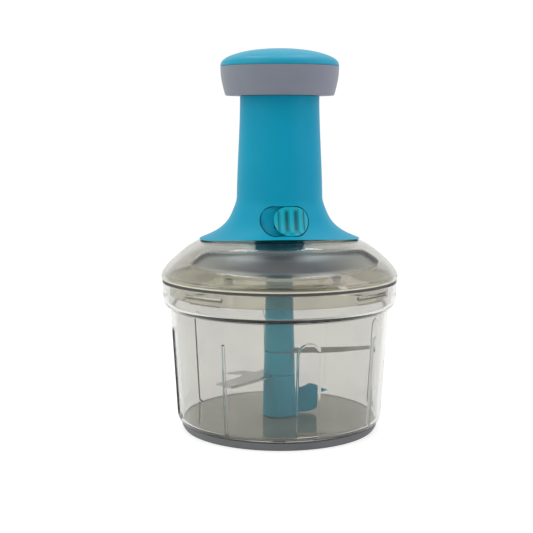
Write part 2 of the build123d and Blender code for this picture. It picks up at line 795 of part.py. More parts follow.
nut_z = cap_seat + spring_room
spindle_flange_z = socket_top + 2 * fit_gap
journal_z = spindle_flange_z + spindle_flange_thickness
helix_z = cap_seat + free_gap
spindle_top = nut_z + nut_height + travel + spindle_overrun


def spiral_ribs(low, high, width, radius):
    # two opposite ribs wound round the core, from low to high, started at helix_z
    with BuildPart() as ribs:
        for start in (0, 180):
            with BuildLine() as wind:
                Helix(pitch=lead, height=high - low, radius=spindle_core_radius, center=(0, 0, low))
            turn = 360.0 * (low - helix_z) / lead
            path = wind.line
            rib_root = 0.25 * spindle_core_radius
            with BuildSketch(Plane(origin=path @ 0, x_dir=(1, 0, 0), z_dir=path % 0)):
                with Locations(((radius - spindle_core_radius - rib_root) / 2, 0)):
                    Rectangle(radius - spindle_core_radius + rib_root, width)
            rib = sweep(path=path, is_frenet=True, mode=Mode.PRIVATE)
            add(rib.rotate(Axis.Z, turn + start))
    return ribs.part


spindle_ribs = spiral_ribs(helix_z, spindle_top, spindle_rib_width, spindle_rib_radius)
with BuildPart() as spiral_spindle:
    with BuildSketch(Plane.XY.offset(ratchet_z + fit_gap)):
        Rectangle(square_drive, square_drive)
    extrude(amount=spindle_flange_z - ratchet_z - fit_gap)
    with BuildSketch(Plane.XY.offset(spindle_flange_z)):
        Circle(spindle_flange_radius)
    extrude(amount=spindle_flange_thickness)
    with BuildSketch(Plane.XY.offset(journal_z)):
        Circle(journal_radius)
    extrude(amount=helix_z - journal_z)
    with BuildSketch(Plane.XY.offset(helix_z)):
        Circle(spindle_core_radius)
    extrude(amount=spindle_top - helix_z)
    add(spindle_ribs)
spiral_spindle.part.label = "spiral_spindle"
export_step(spiral_spindle.part, "parts/spiral_spindle.step")

bearing_radius = journal_radius + bearing_wall
with BuildPart() as bearing_bush:
    with BuildSketch(Plane.XY.offset(journal_z + 2 * fit_gap)):
        Circle(bearing_radius)
        Circle(journal_radius + running_gap, mode=Mode.SUBTRACT)
    extrude(amount=cap_seat - journal_z - 4 * fit_gap)
bearing_bush.part.label = "bearing_bush"
export_step(bearing_bush.part, "parts/bearing_bush.step")

# Clutch housing, the dark funnel inside the lid
with BuildPart() as clutch_housing:
    with BuildSketch(Plane.XZ):
        throat = cap_bottom_radius - 2 * free_gap
        foot = housing_base_radius - housing_flange
        inner_foot = foot - 1.6 * housing_wall
        waist = (housing_waist[0] * housing_base_radius, plate_top + housing_waist[1] * housing_rise)
        with BuildLine():
            Spline(
                (foot, plate_top + housing_wall),
                waist,
                (throat, housing_top),
                tangents=[(-0.8, 0.6), (-0.5, 1)],
            )
            Polyline(
                (throat, housing_top),
                (bearing_radius + fit_gap, housing_top),
                (bearing_radius + fit_gap, housing_top - housing_wall),
                (throat - housing_wall, housing_top - housing_wall),
            )
            Spline(
                (throat - housing_wall, housing_top - housing_wall),
                (waist[0] - housing_wall, waist[1] - 0.6 * housing_wall),
                (inner_foot, plate_top),
                tangents=[(0.5, -1), (0.8, -0.6)],
            )
            Polyline(
                (inner_foot, plate_top),
                (housing_base_radius, plate_top),
                (housing_base_radius, plate_top + housing_wall),
                (foot, plate_top + housing_wall),
            )
        make_face()
    revolve(axis=Axis.Z)
    with Locations(*[(x, y, plate_top + housing_wall) for x, y in housing_screw_places]):
        Hole(screw_radius + fit_gap, depth=housing_wall)
clutch_housing.part.label = "clutch_housing"
export_step(clutch_housing.part, "parts/clutch_housing.step")

with BuildPart() as bearing_cap:
    with BuildSketch(Plane.XZ):
        with BuildLine():
            Polyline(
                (bearing_radius + fit_gap, housing_top),
                (cap_bottom_radius, housing_top),
                (cap_top_radius, cap_seat - 0.2 * bearing_cap_height),
                (cap_top_radius, cap_seat),
                (journal_radius + 2 * free_gap, cap_seat),
                (journal_radius + 2 * free_gap, cap_seat - 2 * fit_gap),
                (bearing_radius + fit_gap, cap_seat - 2 * fit_gap),
                close=True,
            )
        make_face()
    revolve(axis=Axis.Z)
bearing_cap.part.label = "bearing_cap"
export_step(bearing_cap.part, "parts/bearing_cap.step")


def pan_screws(places, seat, length):
    # screws with rounded heads below seat and shanks above it
    with BuildPart() as screws:
        with BuildSketch(Plane.XY.offset(seat)):
            with Locations(*places):
                Circle(screw_head_radius)
        extrude(amount=-screw_head_height, taper=screw_head_taper)
        with BuildSketch(Plane.XY.offset(seat)):
            with Locations(*places):
                Circle(screw_radius)
        extrude(amount=length)
    return screws.part


housing_screws = pan_screws(housing_screw_places, lid_z, plate_thickness + housing_wall - fit_gap)
housing_screws.label = "housing_screws"
export_step(housing_screws, "parts/housing_screws.step")

# Return spring, shown compressed under the nut
spring_z = cap_seat + fit_gap + wire_radius
spring_rise = nut_z - fit_gap - wire_radius - spring_z
spring_pitch = spring_rise / spring_turns
with BuildPart() as return_spring:
    with BuildLine() as coil:
        Helix(pitch=spring_pitch, height=spring_rise, radius=spring_radius, center=(0, 0, spring_z))
    with BuildSketch(Plane(origin=coil.line @ 0, x_dir=(1, 0, 0), z_dir=coil.line % 0)):
        RegularPolygon(wire_radius, 8)
    sweep(path=coil.line, is_frenet=True)
return_spring.part.label = "return_spring"
export_step(return_spring.part, "parts/return_spring.step")

# Neck -------------------------------------------------------------------------
flare_curve = [(throat_radius, throat_z)]
flare_curve += between((throat_radius, throat_z), (flange_radius, flange_z), flare_shape)
flare_curve += [(flange_radius, flange_z)]


def neck_form(proud):
    # the neck's outer form as a solid of revolution, standing proud of its surface
    flare = [(r + proud, z) for r, z in flare_curve]
    low = lid_z
    with BuildPart() as form:
        with BuildSketch(Plane.XZ):
            with BuildLine():
                Line((0, low), (0, neck_top))
                Line((0, neck_top), (neck_top_radius + proud, neck_top))
                Spline(
                    (neck_top_radius + proud, neck_top),
                    (neck_top_radius + 0.45 * throat_spread + proud, (neck_top + throat_z) / 2),
                    flare[0],
                    tangents=[(0, -1), (0.02, -1)],
                )
                Spline(*flare, tangents=[(0.02, -1), (1, -0.42)])
                Line(flare[-1], (flare[-1][0], low))
                Line((flare[-1][0], low), (0, low))
            make_face()
        revolve(axis=Axis.Z)
    return form.part


# the underside follows the lid, then turns up inside the flare
hollow_start = (neck_land_radius - neck_land_width, neck_z)
hollow_end = (neck_bore, throat_z - 0.1 * throat_height)
hollow_curve = [hollow_start] + between(hollow_start, hollow_end, hollow_shape) + [hollow_end]
bush_z0 = tube_z + travel + stop_thickness + free_gap
with BuildPart() as neck_hollow:
    with BuildSketch(Plane.XZ):
        with BuildLine():
            Line((0, lid_z), (0, neck_top))
            Polyline(
                (0, neck_top),
                (neck_bore + bush_lip, neck_top),
                (neck_bore + bush_lip, neck_top - bush_lip_thickness - free_gap),
                (neck_bore, neck_top - bush_lip_thickness - free_gap),
                hollow_curve[-1],
            )
            Spline(*hollow_curve[::-1], tangents=[(0, -1), (0.75, -1)])
            Polyline(hollow_curve[0], (hollow_curve[0][0], lid_z), (0, lid_z))
        make_face()
    revolve(axis=Axis.Z)
    # what stays solid inside: two keys for the plunger and the wall behind the lock
    key_face = tube_radius + 1.2 * free_gap
    with BuildSketch(Plane.XY.offset(neck_z)):
        for side in (-1, 1):
            with Locations((side * (key_face + flange_radius / 2), 0)):
                Rectangle(flange_radius, key_width)
    extrude(amount=bush_z0 - neck_z - free_gap, mode=Mode.SUBTRACT)
    with BuildSketch(Plane.XY.offset(neck_z)):
        with Locations((0, -pad_face - flange_radius / 2)):
            Rectangle(button_width + 1.7 * lock_travel, flange_radius)
    extrude(amount=lock_z + 0.65 * button_height - neck_z, mode=Mode.SUBTRACT)
    # screw bosses
    with BuildSketch(Plane.XY.offset(neck_z)):
        with Locations(*neck_screw_places):
            Circle(screw_radius + neck_boss_wall)
    extrude(amount=throat_height / 2, mode=Mode.SUBTRACT)

arch_radius = (flange_radius ** 2 + flange_arch ** 2) / (2 * flange_arch)
stem_height = tongue_height - 2 * free_gap


def pocket_space(gap):
    # everything in front of the lock pocket's floor, less a gap
    top = (-pocket_floor - gap, lock_z + button_height)
    bend_start = (-pocket_floor - gap, lock_z + 0.3 * button_height)
    with BuildPart() as space:
        with BuildSketch(Plane.YZ):
            with BuildLine():
                Line(top, bend_start)
                bend = JernArc(bend_start, (0, -1), pocket_bend - gap, -pocket_turn)
                run_out = bend @ 1 + 2 * pocket_bend * (bend % 1)
                Polyline(bend @ 1, run_out, (-3 * pocket_floor, top[1]), top)
            make_face()
        extrude(amount=button_width + lock_travel, both=True)
    return space.part


with BuildPart() as lock_pocket:
    with BuildSketch(Plane.XZ):
        with Locations((0, lock_z)):
            SlotOverall(button_width + lock_travel + 2 * window_gap, button_height + 2 * window_gap)
    extrude(amount=3 * pocket_floor)
pocket_tool = lock_pocket.part & pocket_space(0)

neck_outside = neck_form(0)
with BuildPart() as neck_shell:
    add(neck_outside)
    add(neck_hollow.part, mode=Mode.SUBTRACT)
    # the lid's own form, a hair larger, cut out of the underside
    with BuildSketch(Plane.XZ):
        seat_curve = [(r, z + 3 * fit_gap) for r, z in lid_curve[:4]]
        with BuildLine():
            Line((0, lid_z - 1), (0, neck_z))
            Line((0, neck_z), (lid_land_radius, neck_z))
            Spline((lid_land_radius, neck_z), *seat_curve[1:], tangents=[(1, -0.1), (1, -0.75)])
            Line(seat_curve[-1], (seat_curve[-1][0], lid_z - 1))
            Line((seat_curve[-1][0], lid_z - 1), (0, lid_z - 1))
        make_face()
    revolve(axis=Axis.Z, mode=Mode.SUBTRACT)
    # the flange edge arches up at the front and the back
    with BuildSketch(Plane.XZ):
        with Locations((0, flange_z + flange_arch - arch_radius)):
            Circle(arch_radius)
    extrude(amount=2 * flange_radius, both=True, mode=Mode.SUBTRACT)
    # lock window and the slot for the button's stem
    add(pocket_tool, mode=Mode.SUBTRACT)
    with BuildSketch(Plane.XZ):
        with Locations((0, tongue_z)):
            Rectangle(stem_width + lock_travel + 2 * free_gap, stem_height + 2 * free_gap)
    extrude(amount=2 * pocket_floor, mode=Mode.SUBTRACT)
    with BuildSketch(Plane.XY.offset(neck_z)):
        with Locations(*neck_screw_places):
            Circle(screw_radius + fit_gap)
    extrude(amount=neck_screw_length, mode=Mode.SUBTRACT)
neck_shell.part.label = "neck_shell"
export_step(neck_shell.part, "parts/neck_shell.step")

neck_screws = pan_screws(neck_screw_places, lid_top - lid_wall, lid_wall + neck_screw_length - 2 * fit_gap)
neck_screws.label = "neck_screws"
export_step(neck_screws, "parts/neck_screws.step")

with BuildPart() as guide_bush:
    with BuildSketch(Plane.XZ):
        with BuildLine():
            Polyline(
                (tube_radius + running_gap, bush_z0 + stop_width / 2),
                (tube_radius + running_gap + stop_width / 2, bush_z0),
                (neck_bore - fit_gap, bush_z0),
                (neck_bore - fit_gap, neck_top - free_gap - bush_lip_thickness),
                (neck_bore + bush_lip - fit_gap, neck_top - free_gap - bush_lip_thickness),
                (neck_bore + bush_lip - fit_gap, neck_top - free_gap),
                (tube_radius + running_gap, neck_top - free_gap),
                close=True,
            )
        make_face()
    revolve(axis=Axis.Z)
guide_bush.part.label = "guide_bush"
export_step(guide_bush.part, "parts/guide_bush.step")

# Lock -------------------------------------------------------------------------
button_outside = neck_form(button_proud)
rib_outside = neck_form(button_proud + button_rib_rise)
button_back = pocket_space(free_gap)
with BuildPart() as lock_slider:
    with BuildSketch(Plane.XZ):
        with Locations((button_x, lock_z)):
            SlotOverall(button_width, button_height)
    extrude(amount=3 * pocket_floor)
    add(button_outside, mode=Mode.INTERSECT)
    with BuildSketch(Plane.XZ, mode=Mode.PRIVATE) as grip_ribs:
        with GridLocations(button_rib_pitch, 1, button_rib_count, 1):
            with Locations((button_x, lock_z)):
                SlotOverall(0.86 * button_height, button_rib_width, rotation=90)
    rib_blocks = extrude(grip_ribs.sketch, 3 * pocket_floor, mode=Mode.PRIVATE)
    add(rib_blocks & rib_outside)
    add(button_back, mode=Mode.INTERSECT)
    # stem through the neck wall
    with BuildSketch(Plane.XZ.offset(tongue_face - tongue_thickness)):
        with Locations((button_x, tongue_z)):
            Rectangle(stem_width, stem_height)
    extrude(amount=pocket_floor + pocket_wall - tongue_face + tongue_thickness)
    with BuildSketch(Plane.XZ.offset(tongue_face - tongue_thickness)):
        with Locations((button_x, tongue_z)):
            Circle(lock_screw_radius)
    extrude(amount=lock_screw_length + free_gap, mode=Mode.SUBTRACT)
lock_slider.part.label = "lock_slider"
export_step(lock_slider.part, "parts/lock_slider.step")

with BuildPart() as lock_tongue:
    with BuildSketch(Plane.XY.offset(tongue_z - tongue_height / 2)):
        plate_end = button_x - stem_width / 2 - tongue_thickness
        with BuildLine():
            Polyline(
                (plate_end, -tongue_face),
                (finger_x + 0.4 * finger_width, -tongue_face),
                (finger_x + finger_width, -tongue_face + 0.8 * finger_width),
                (finger_x + finger_width, -finger_tip),
                (finger_x, -finger_tip),
                (finger_x, -tongue_face + tongue_thickness),
                (plate_end, -tongue_face + tongue_thickness),
                close=True,
            )
        make_face()
    extrude(amount=tongue_height)
    with BuildSketch(Plane.XZ):
        with Locations((button_x, tongue_z)):
            Rectangle(stem_width + 2 * fit_gap, stem_height + 2 * fit_gap)
    extrude(amount=2 * pocket_floor, mode=Mode.SUBTRACT)
lock_tongue.part.label = "lock_tongue"
export_step(lock_tongue.part, "parts/lock_tongue.step")

with BuildPart() as lock_screw:
    with BuildSketch(Plane.XZ.offset(tongue_face - tongue_thickness)):
        with Locations((button_x, tongue_z)):
            Circle(lock_screw_radius - fit_gap)
    extrude(amount=lock_screw_length)
    with BuildSketch(Plane.XZ.offset(tongue_face - tongue_thickness)):
        with Locations((button_x, tongue_z)):
            Circle(lock_screw_head_radius)
    extrude(amount=-lock_screw_head, taper=screw_head_taper)
lock_screw.part.label = "lock_screw"
export_step(lock_screw.part, "parts/lock_screw.step")

# Plunger ----------------------------------------------------------------------
tube_top = knob_z + knob_floor + tube_head_thickness
head_radius = tube_radius + tube_head_width
knob_screw_places = PolarLocations((tube_radius + head_radius) / 2, knob_screw_count, start_angle=90)
pin_height = nut_z + nut_height / 2
with BuildPart() as plunger_tube:
    with BuildSketch(Plane.XY.offset(tube_z)):
        Circle(tube_radius)
    extrude(amount=tube_top - tube_z)
    # stop flange with notches that run on the neck's keys
    with BuildSketch(Plane.XY.offset(tube_z)):
        Circle(stop_radius)
        with Locations((-stop_radius, 0), (stop_radius, 0)):
            Rectangle(2 * stop_width, key_width + 2 * free_gap, mode=Mode.SUBTRACT)
    extrude(amount=stop_thickness)
    with BuildSketch(Plane.XY.offset(knob_z + knob_floor)):
        Circle(head_radius)
        with knob_screw_places:
            Circle(knob_screw_radius + fit_gap, mode=Mode.SUBTRACT)
    extrude(amount=tube_head_thickness)
    with BuildSketch(Plane.XY.offset(tube_z)):
        Circle(tube_bore)
    extrude(amount=tube_top - tube_z, mode=Mode.SUBTRACT)
    # notch that the lock's finger slides into
    notch_left = finger_x - lock_travel - 2 * free_gap
    with BuildSketch(Plane.XY.offset(tongue_z - tongue_height / 2 - free_gap)):
        with Locations((notch_left, -stop_radius)):
            Rectangle(
                stop_radius - notch_left,
                stop_radius - finger_tip + 1.5 * free_gap,
                align=(Align.MIN, Align.MIN),
            )
    extrude(amount=tongue_height + 2 * free_gap, mode=Mode.SUBTRACT)
    with Locations(Location((0, 0, pin_height), (0, 90, 0))):
        Cylinder(nut_pin_radius + fit_gap, 2 * stop_radius, mode=Mode.SUBTRACT)
plunger_tube.part.label = "plunger_tube"
export_step(plunger_tube.part, "parts/plunger_tube.step")

nut_thread = spiral_ribs(
    helix_z, nut_z + 1.5 * nut_height, spindle_rib_width + 2 * free_gap, spindle_rib_radius + free_gap
)
pin_inner = 0.65 * tube_bore
with BuildPart() as spiral_nut:
    with BuildSketch(Plane.XY.offset(nut_z)):
        Circle(tube_bore - fit_gap)
        Circle(spindle_core_radius + free_gap, mode=Mode.SUBTRACT)
    extrude(amount=nut_height)
    add(nut_thread, mode=Mode.SUBTRACT)
    for side in (-1, 1):
        with BuildSketch(Plane.YZ.offset(side * pin_inner)):
            with Locations((0, pin_height)):
                Circle(nut_pin_radius + fit_gap)
        extrude(amount=side * tube_wall * 4, mode=Mode.SUBTRACT)
spiral_nut.part.label = "spiral_nut"
export_step(spiral_nut.part, "parts/spiral_nut.step")

with BuildPart() as nut_pins:
    for side in (-1, 1):
        with BuildSketch(Plane.YZ.offset(side * (pin_inner + fit_gap))):
            with Locations((0, pin_height)):
                Circle(nut_pin_radius)
        extrude(amount=side * (tube_radius - pin_inner - 3 * fit_gap))
nut_pins.part.label = "nut_pins"
export_step(nut_pins.part, "parts/nut_pins.step")

# Knob -------------------------------------------------------------------------
base_bore = grip_bore - knob_base_wall
snap_z = grip_top - snap_drop
with BuildPart() as knob_base:
    with BuildSketch(Plane.XZ):
        with BuildLine():
            Polyline(
                (tube_radius + fit_gap, knob_z),
                (grip_bore - fit_gap, knob_z),
                (grip_bore - fit_gap, grip_top - knob_base_drop),
                (base_bore, grip_top - knob_base_drop),
                (base_bore, snap_z + snap_bead),
                (base_bore + snap_bead + fit_gap, snap_z),
                (base_bore + snap_bead + fit_gap, snap_z - snap_height),
                (base_bore, snap_z - snap_height - snap_bead),
                (base_bore, knob_z + knob_floor),
                (tube_radius + fit_gap, knob_z + knob_floor),
                close=True,
            )
        make_face()
    revolve(axis=Axis.Z)
    with BuildSketch(Plane.XY.offset(knob_z + knob_floor)):
        with knob_screw_places:
            Circle(knob_screw_radius)
    extrude(amount=-0.75 * knob_floor, mode=Mode.SUBTRACT)
knob_base.part.label = "knob_base"
export_step(knob_base.part, "parts/knob_base.step")

with BuildPart() as knob_screws:
    with BuildSketch(Plane.XY.offset(tube_top)):
        with knob_screw_places:
            Circle(knob_screw_radius - fit_gap)
    extrude(amount=-tube_head_thickness - 0.7 * knob_floor)
    with BuildSketch(Plane.XY.offset(tube_top)):
        with knob_screw_places:
            Circle(screw_head_radius)
    extrude(amount=screw_head_height, taper=screw_head_taper)
knob_screws.part.label = "knob_screws"
export_step(knob_screws.part, "parts/knob_screws.step")

grip_foot = grip_foot_radius - grip_round
grip_lip = knob_radius - grip_round / 2
grip_curve = between((grip_foot, knob_z), (knob_radius, grip_top), grip_shape)
with BuildPart() as knob_grip:
    with BuildSketch(Plane.XZ):
        with BuildLine():
            Polyline(
                grip_curve[-1],
                (grip_lip, grip_top),
                (grip_bore, grip_top),
                (grip_bore, knob_z),
                (grip_foot, knob_z),
            )
            Spline((grip_foot, knob_z), *grip_curve, tangents=[(1, 0.15), (0.05, 1)])
        make_face()
    revolve(axis=Axis.Z)
knob_grip.part.label = "knob_grip"
export_step(knob_grip.part, "parts/knob_grip.step")

cap_curve = [(0, grip_top + cap_height)]
cap_curve += [(u * knob_radius, grip_top + v * cap_height) for u, v in cap_shape]
cap_under = [(r * (1 - cap_wall / knob_radius), z - cap_wall) for r, z in cap_curve[:-2]]
skirt_outer = base_bore - running_gap
skirt_inner = skirt_outer - cap_skirt_wall
with BuildPart() as knob_cap:
    with BuildSketch(Plane.XZ):
        with BuildLine():
            Spline(*cap_curve, tangents=[(1, 0), (-0.4, -1)])
            Polyline(
                cap_curve[-1],
                (knob_radius - 2 * grip_round, grip_top),
                (skirt_outer, grip_top),
                (skirt_outer, snap_z),
                (skirt_outer + snap_bead, snap_z - snap_bead),
                (skirt_outer + snap_bead, snap_z - snap_height + snap_bead),
                (skirt_outer, snap_z - snap_height),
                (skirt_outer, grip_top - cap_skirt_depth),
                (skirt_inner, grip_top - cap_skirt_depth),
                (skirt_inner, grip_top + 0.35 * cap_height),
                cap_under[-1],
            )
            Spline(*cap_under[::-1], tangents=[(-1, 0.2), (-1, 0)])
            Line(cap_under[0], cap_curve[0])
        make_face()
    revolve(axis=Axis.Z)
knob_cap.part.label = "knob_cap"
export_step(knob_cap.part, "parts/knob_cap.step")
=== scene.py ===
import bpy
import bmesh
import json
from math import cos, hypot, pi, radians, sin
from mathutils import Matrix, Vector
from mathutils.bvhtree import BVHTree


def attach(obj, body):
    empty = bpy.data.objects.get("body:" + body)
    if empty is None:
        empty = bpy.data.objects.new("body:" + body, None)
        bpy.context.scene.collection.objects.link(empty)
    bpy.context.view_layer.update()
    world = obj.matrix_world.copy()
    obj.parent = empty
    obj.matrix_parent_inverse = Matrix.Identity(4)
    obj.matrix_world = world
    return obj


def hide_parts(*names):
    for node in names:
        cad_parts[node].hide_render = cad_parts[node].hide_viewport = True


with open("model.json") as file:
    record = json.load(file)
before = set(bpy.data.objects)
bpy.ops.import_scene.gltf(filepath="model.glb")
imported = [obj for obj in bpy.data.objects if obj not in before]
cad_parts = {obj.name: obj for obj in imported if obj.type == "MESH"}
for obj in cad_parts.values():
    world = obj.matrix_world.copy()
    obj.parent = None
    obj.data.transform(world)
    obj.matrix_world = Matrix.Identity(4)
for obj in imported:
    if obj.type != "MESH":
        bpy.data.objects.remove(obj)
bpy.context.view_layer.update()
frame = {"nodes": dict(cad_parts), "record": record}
scene = bpy.context.scene
cadNodes = frame["nodes"]
bodyOf = {node: body for body, nodes in frame["record"]["behaviour"]["bodies"].items() for node in nodes}
print("frame loaded,", len(cadNodes), "nodes")


def mm(value):
    return value * 0.001


def tone(red, green, blue):
    # a colour as seen on screen, 0 to 255, turned into shader values
    shares = [value / 255 for value in (red, green, blue)]
    return [s / 12.92 if s < 0.04 else ((s + 0.055) / 1.055) ** 2.4 for s in shares] + [1]


# small helpers for every node tree: a value is a number, a colour or another node's output

mixSockets = {"FLOAT": (2, 3, 0), "VECTOR": (4, 5, 1), "RGBA": (6, 7, 2)}     # first, second and result


def join(tree, value, socket):
    if isinstance(value, (int, float, str, tuple, list)):
        socket.default_value = value
    else:
        tree.links.new(value, socket)


def feed(tree, node, values):
    for label, value in values.items():
        join(tree, value, node.inputs[label])


def added(tree, kind, values, **settings):
    # a new node, its settings made before its inputs
    node = tree.nodes.new(kind)
    for label, value in settings.items():
        setattr(node, label, value)
    feed(tree, node, values)
    return node


def reckoned(tree, action, *values):
    return added(tree, "ShaderNodeMath", dict(enumerate(values)), operation=action).outputs[0]


def scaledTo(tree, value, low, high, fromLow=0.3, fromHigh=0.7, shape="LINEAR"):
    # the usual start and end are where noise mostly lies
    spread = {"Value": value, "From Min": fromLow, "From Max": fromHigh, "To Min": low, "To Max": high}
    return added(tree, "ShaderNodeMapRange", spread, interpolation_type=shape).outputs[0]


def mixed(tree, kind, share, first, second):
    low, high, result = mixSockets[kind]
    return added(tree, "ShaderNodeMix", {0: share, low: first, high: second}, data_type=kind).outputs[result]


def axes(tree, kind="Object"):
    place = tree.nodes.new("ShaderNodeTexCoord")
    return added(tree, "ShaderNodeSeparateXYZ", {0: place.outputs[kind]}).outputs


def noiseValue(tree, size, detail, stretch=(1, 1, 1)):
    # noise whose bumps are about size millimetres across
    place = tree.nodes.new("ShaderNodeTexCoord")
    spread = added(tree, "ShaderNodeMapping", {"Vector": place.outputs["Object"], "Scale": stretch})
    noise = added(tree, "ShaderNodeTexNoise", {
        "Vector": spread.outputs[0], "Scale": 1000 / size, "Detail": detail})
    return noise.outputs["Fac"]


def heldValue(tree, name):
    # a number that the mesh carries at its points
    return added(tree, "ShaderNodeAttribute", {}, attribute_name=name).outputs["Fac"]


def bumped(tree, value, depth, after=None):
    values = {"Distance": mm(depth), "Height": value}
    if after is not None:
        values["Normal"] = after
    return added(tree, "ShaderNodeBump", values).outputs[0]


def startMaterial(name):
    material = bpy.data.materials.new(name)
    material.use_nodes = True
    return material, material.node_tree, material.node_tree.nodes["Principled BSDF"]


# camera, room and lights

studio = {
    "eyeDistance": 632.5,       # millimetres, down to the lens
    "eyeHeight": 175.4,
    "aimHeight": 92.2,
    "aimLeft": 7.4,
    "lens": 75.2,
    "eyeTurn": -6,              # degrees round from the front, towards the left
    "clipStart": 0.01,          # metres, as are the lamps and the floor
    "roomBright": 1.02,
    "roomFront": 0.4,
    "roomFade": (-0.9, 0.1),    # from the room's darker front to its bright rest
    "roomLean": 0.45,           # how much the darker side lies to the right
    "floorSpan": 6,
    "floorHeight": -0.0002,
    "floorTone": tone(160, 160, 160),
    "floorRough": 0.95,
    "floorGloss": 0.1,
    "floorGlow": 0.69,
    "lamps": [                  # name, place, aim, size, watts and colour
        ("leftSoftbox", (-0.8, -0.4, 0.75), (0, 0, 0.11), (0.9, 0.9), 4.0, (0.93, 1.0, 0.82)),
        ("rightSoftbox", (0.8, -0.3, 0.7), (0, 0, 0.11), (0.7, 0.9), 3.4, (1.0, 0.93, 1.0)),
        ("topSoftbox", (0.0, -0.1, 0.95), (0, 0, 0.1), (0.8, 0.8), 2.4, (1.0, 1.0, 1.0)),
        ("backSoftbox", (-0.24, 0.3, 0.95), (0, 0, 0.1), (0.2, 0.3), 1.1, (0.95, 1.0, 0.95)),
        ("backSoftbox", (0.24, 0.3, 0.95), (0, 0, 0.1), (0.2, 0.3), 1.1, (0.95, 1.0, 0.95)),
        ("rightStrip", (0.6, -0.42, 0.14), (0, 0, 0.12), (0.1, 0.5), 0.55, (1.0, 0.95, 1.0)),
    ],
}


def addObject(name, data):
    thing = bpy.data.objects.new(name, data)
    scene.collection.objects.link(thing)
    return thing


def pointAt(thing, place, aim):
    thing.location = place
    thing.rotation_mode = "QUATERNION"
    thing.rotation_quaternion = (Vector(aim) - Vector(place)).to_track_quat("-Z", "Y")


def placeCamera():
    turn = radians(studio["eyeTurn"])
    back = Vector((sin(turn), -cos(turn), 0))
    right = Vector((cos(turn), sin(turn), 0))
    data = bpy.data.cameras.new("frontCamera")
    data.lens = studio["lens"]
    data.clip_start = studio["clipStart"]
    scene.camera = addObject("frontCamera", data)
    pointAt(scene.camera, back * mm(studio["eyeDistance"]) + Vector((0, 0, mm(studio["eyeHeight"]))),
            right * -mm(studio["aimLeft"]) + Vector((0, 0, mm(studio["aimHeight"]))))


def buildRoom():
    world = bpy.data.worlds.new("paleRoom")
    world.use_nodes = True
    tree = world.node_tree
    place = axes(tree, "Generated")
    leaning = reckoned(tree, "MULTIPLY_ADD", place["X"], -studio["roomLean"], place["Y"])
    strength = scaledTo(tree, leaning, studio["roomFront"], studio["roomBright"],
                        *studio["roomFade"], "SMOOTHSTEP")
    feed(tree, tree.nodes["Background"], {"Strength": strength, "Color": (1, 1, 1, 1)})
    scene.world = world
    scene.view_settings.view_transform = "Standard"
    bpy.ops.mesh.primitive_plane_add(size=studio["floorSpan"], location=(0, 0, studio["floorHeight"]))
    floor = bpy.context.object
    floor.name = "studioFloor"
    material, tree, shader = startMaterial("paleFloor")
    feed(tree, shader, {"Base Color": studio["floorTone"], "Roughness": studio["floorRough"],
                        "Specular IOR Level": studio["floorGloss"], "Emission Color": (1, 1, 1, 1),
                        "Emission Strength": studio["floorGlow"]})
    floor.data.materials.append(material)
    for name, place, aim, size, watts, colour in studio["lamps"]:
        data = bpy.data.lights.new(name, "AREA")
        data.shape = "RECTANGLE"
        data.size, data.size_y = size
        data.energy, data.color = watts, colour
        pointAt(addObject(name, data), place, aim)


placeCamera()
buildRoom()
print("camera and lights placed")


# materials; each maker has its usual values, which a finish may change

mouldedUsual = {"cloudSize": 30, "grainSize": 0.5, "grainDepth": 0.02, "ior": 1.5, "gloss": 0.5,
                "coat": 0, "coatRough": 0.3, "sheen": 0}
clearUsual = {"hazeSize": 9, "waveSize": 26, "waveDepth": 0.08, "ior": 1.49, "through": 1}
steelUsual = {"cloudSize": 14, "stretch": (1, 1, 1), "lineDepth": 0.01, "metal": 1}


def clouded(tree, clouds, looks):
    return mixed(tree, "RGBA", scaledTo(tree, clouds, 0, 1), looks["colour"], looks["shade"])


def grooveShade(tree, grooves):
    # the grooves between the ribs lie in shade
    place = axes(tree)
    middle, pitch = grooves["middle"], grooves["pitch"]
    wave = reckoned(tree, "SINE", reckoned(tree, "MULTIPLY_ADD", place["X"], 2000 * pi / pitch,
                                           -2 * pi * middle / pitch - pi / 2))
    aside = reckoned(tree, "ABSOLUTE", reckoned(tree, "SUBTRACT", place["X"], mm(middle)))
    near = reckoned(tree, "LESS_THAN", aside, mm(grooves["reach"]))
    shade = reckoned(tree, "MULTIPLY", scaledTo(tree, wave, 0, 1, *grooves["rise"]), near)
    away = reckoned(tree, "ABSOLUTE", reckoned(tree, "SUBTRACT", place["Z"], mm(grooves["height"])))
    level = scaledTo(tree, away, 1, 0, mm(grooves["full"]), mm(grooves["end"]))
    return reckoned(tree, "MULTIPLY", shade, level)


def mouldedPlastic(name, looks):
    # opaque moulding with a fine spark-eroded grain and faint clouds of colour
    looks = {**mouldedUsual, **looks}
    material, tree, shader = startMaterial(name)
    colour = clouded(tree, noiseValue(tree, looks["cloudSize"], detail=2), looks)
    grain = noiseValue(tree, looks["grainSize"], detail=4)
    if "grooves" in looks:
        grooves = looks["grooves"]
        colour = mixed(tree, "RGBA", grooveShade(tree, grooves), colour, grooves["colour"])
    if "foot" in looks:
        # painted light: the foot is painted pale, for the light seen there through the dome's lower wall
        foot = looks["foot"]
        low = scaledTo(tree, axes(tree)["Z"], 1, 0, mm(foot["top"] - foot["fade"]), mm(foot["top"]))
        colour = mixed(tree, "RGBA", low, colour, foot["colour"])
    if "other" in looks:
        # painted light: a pale tone on the seat that the piece marks
        colour = mixed(tree, "RGBA", heldValue(tree, "otherTone"), colour, looks["other"])
    feed(tree, shader, {"Base Color": colour, "Roughness": scaledTo(tree, grain, *looks["rough"]),
                        "Normal": bumped(tree, grain, looks["grainDepth"]), "IOR": looks["ior"],
                        "Specular IOR Level": looks["gloss"], "Coat Weight": looks["coat"],
                        "Coat Roughness": looks["coatRough"], "Sheen Weight": looks["sheen"]})
    return material


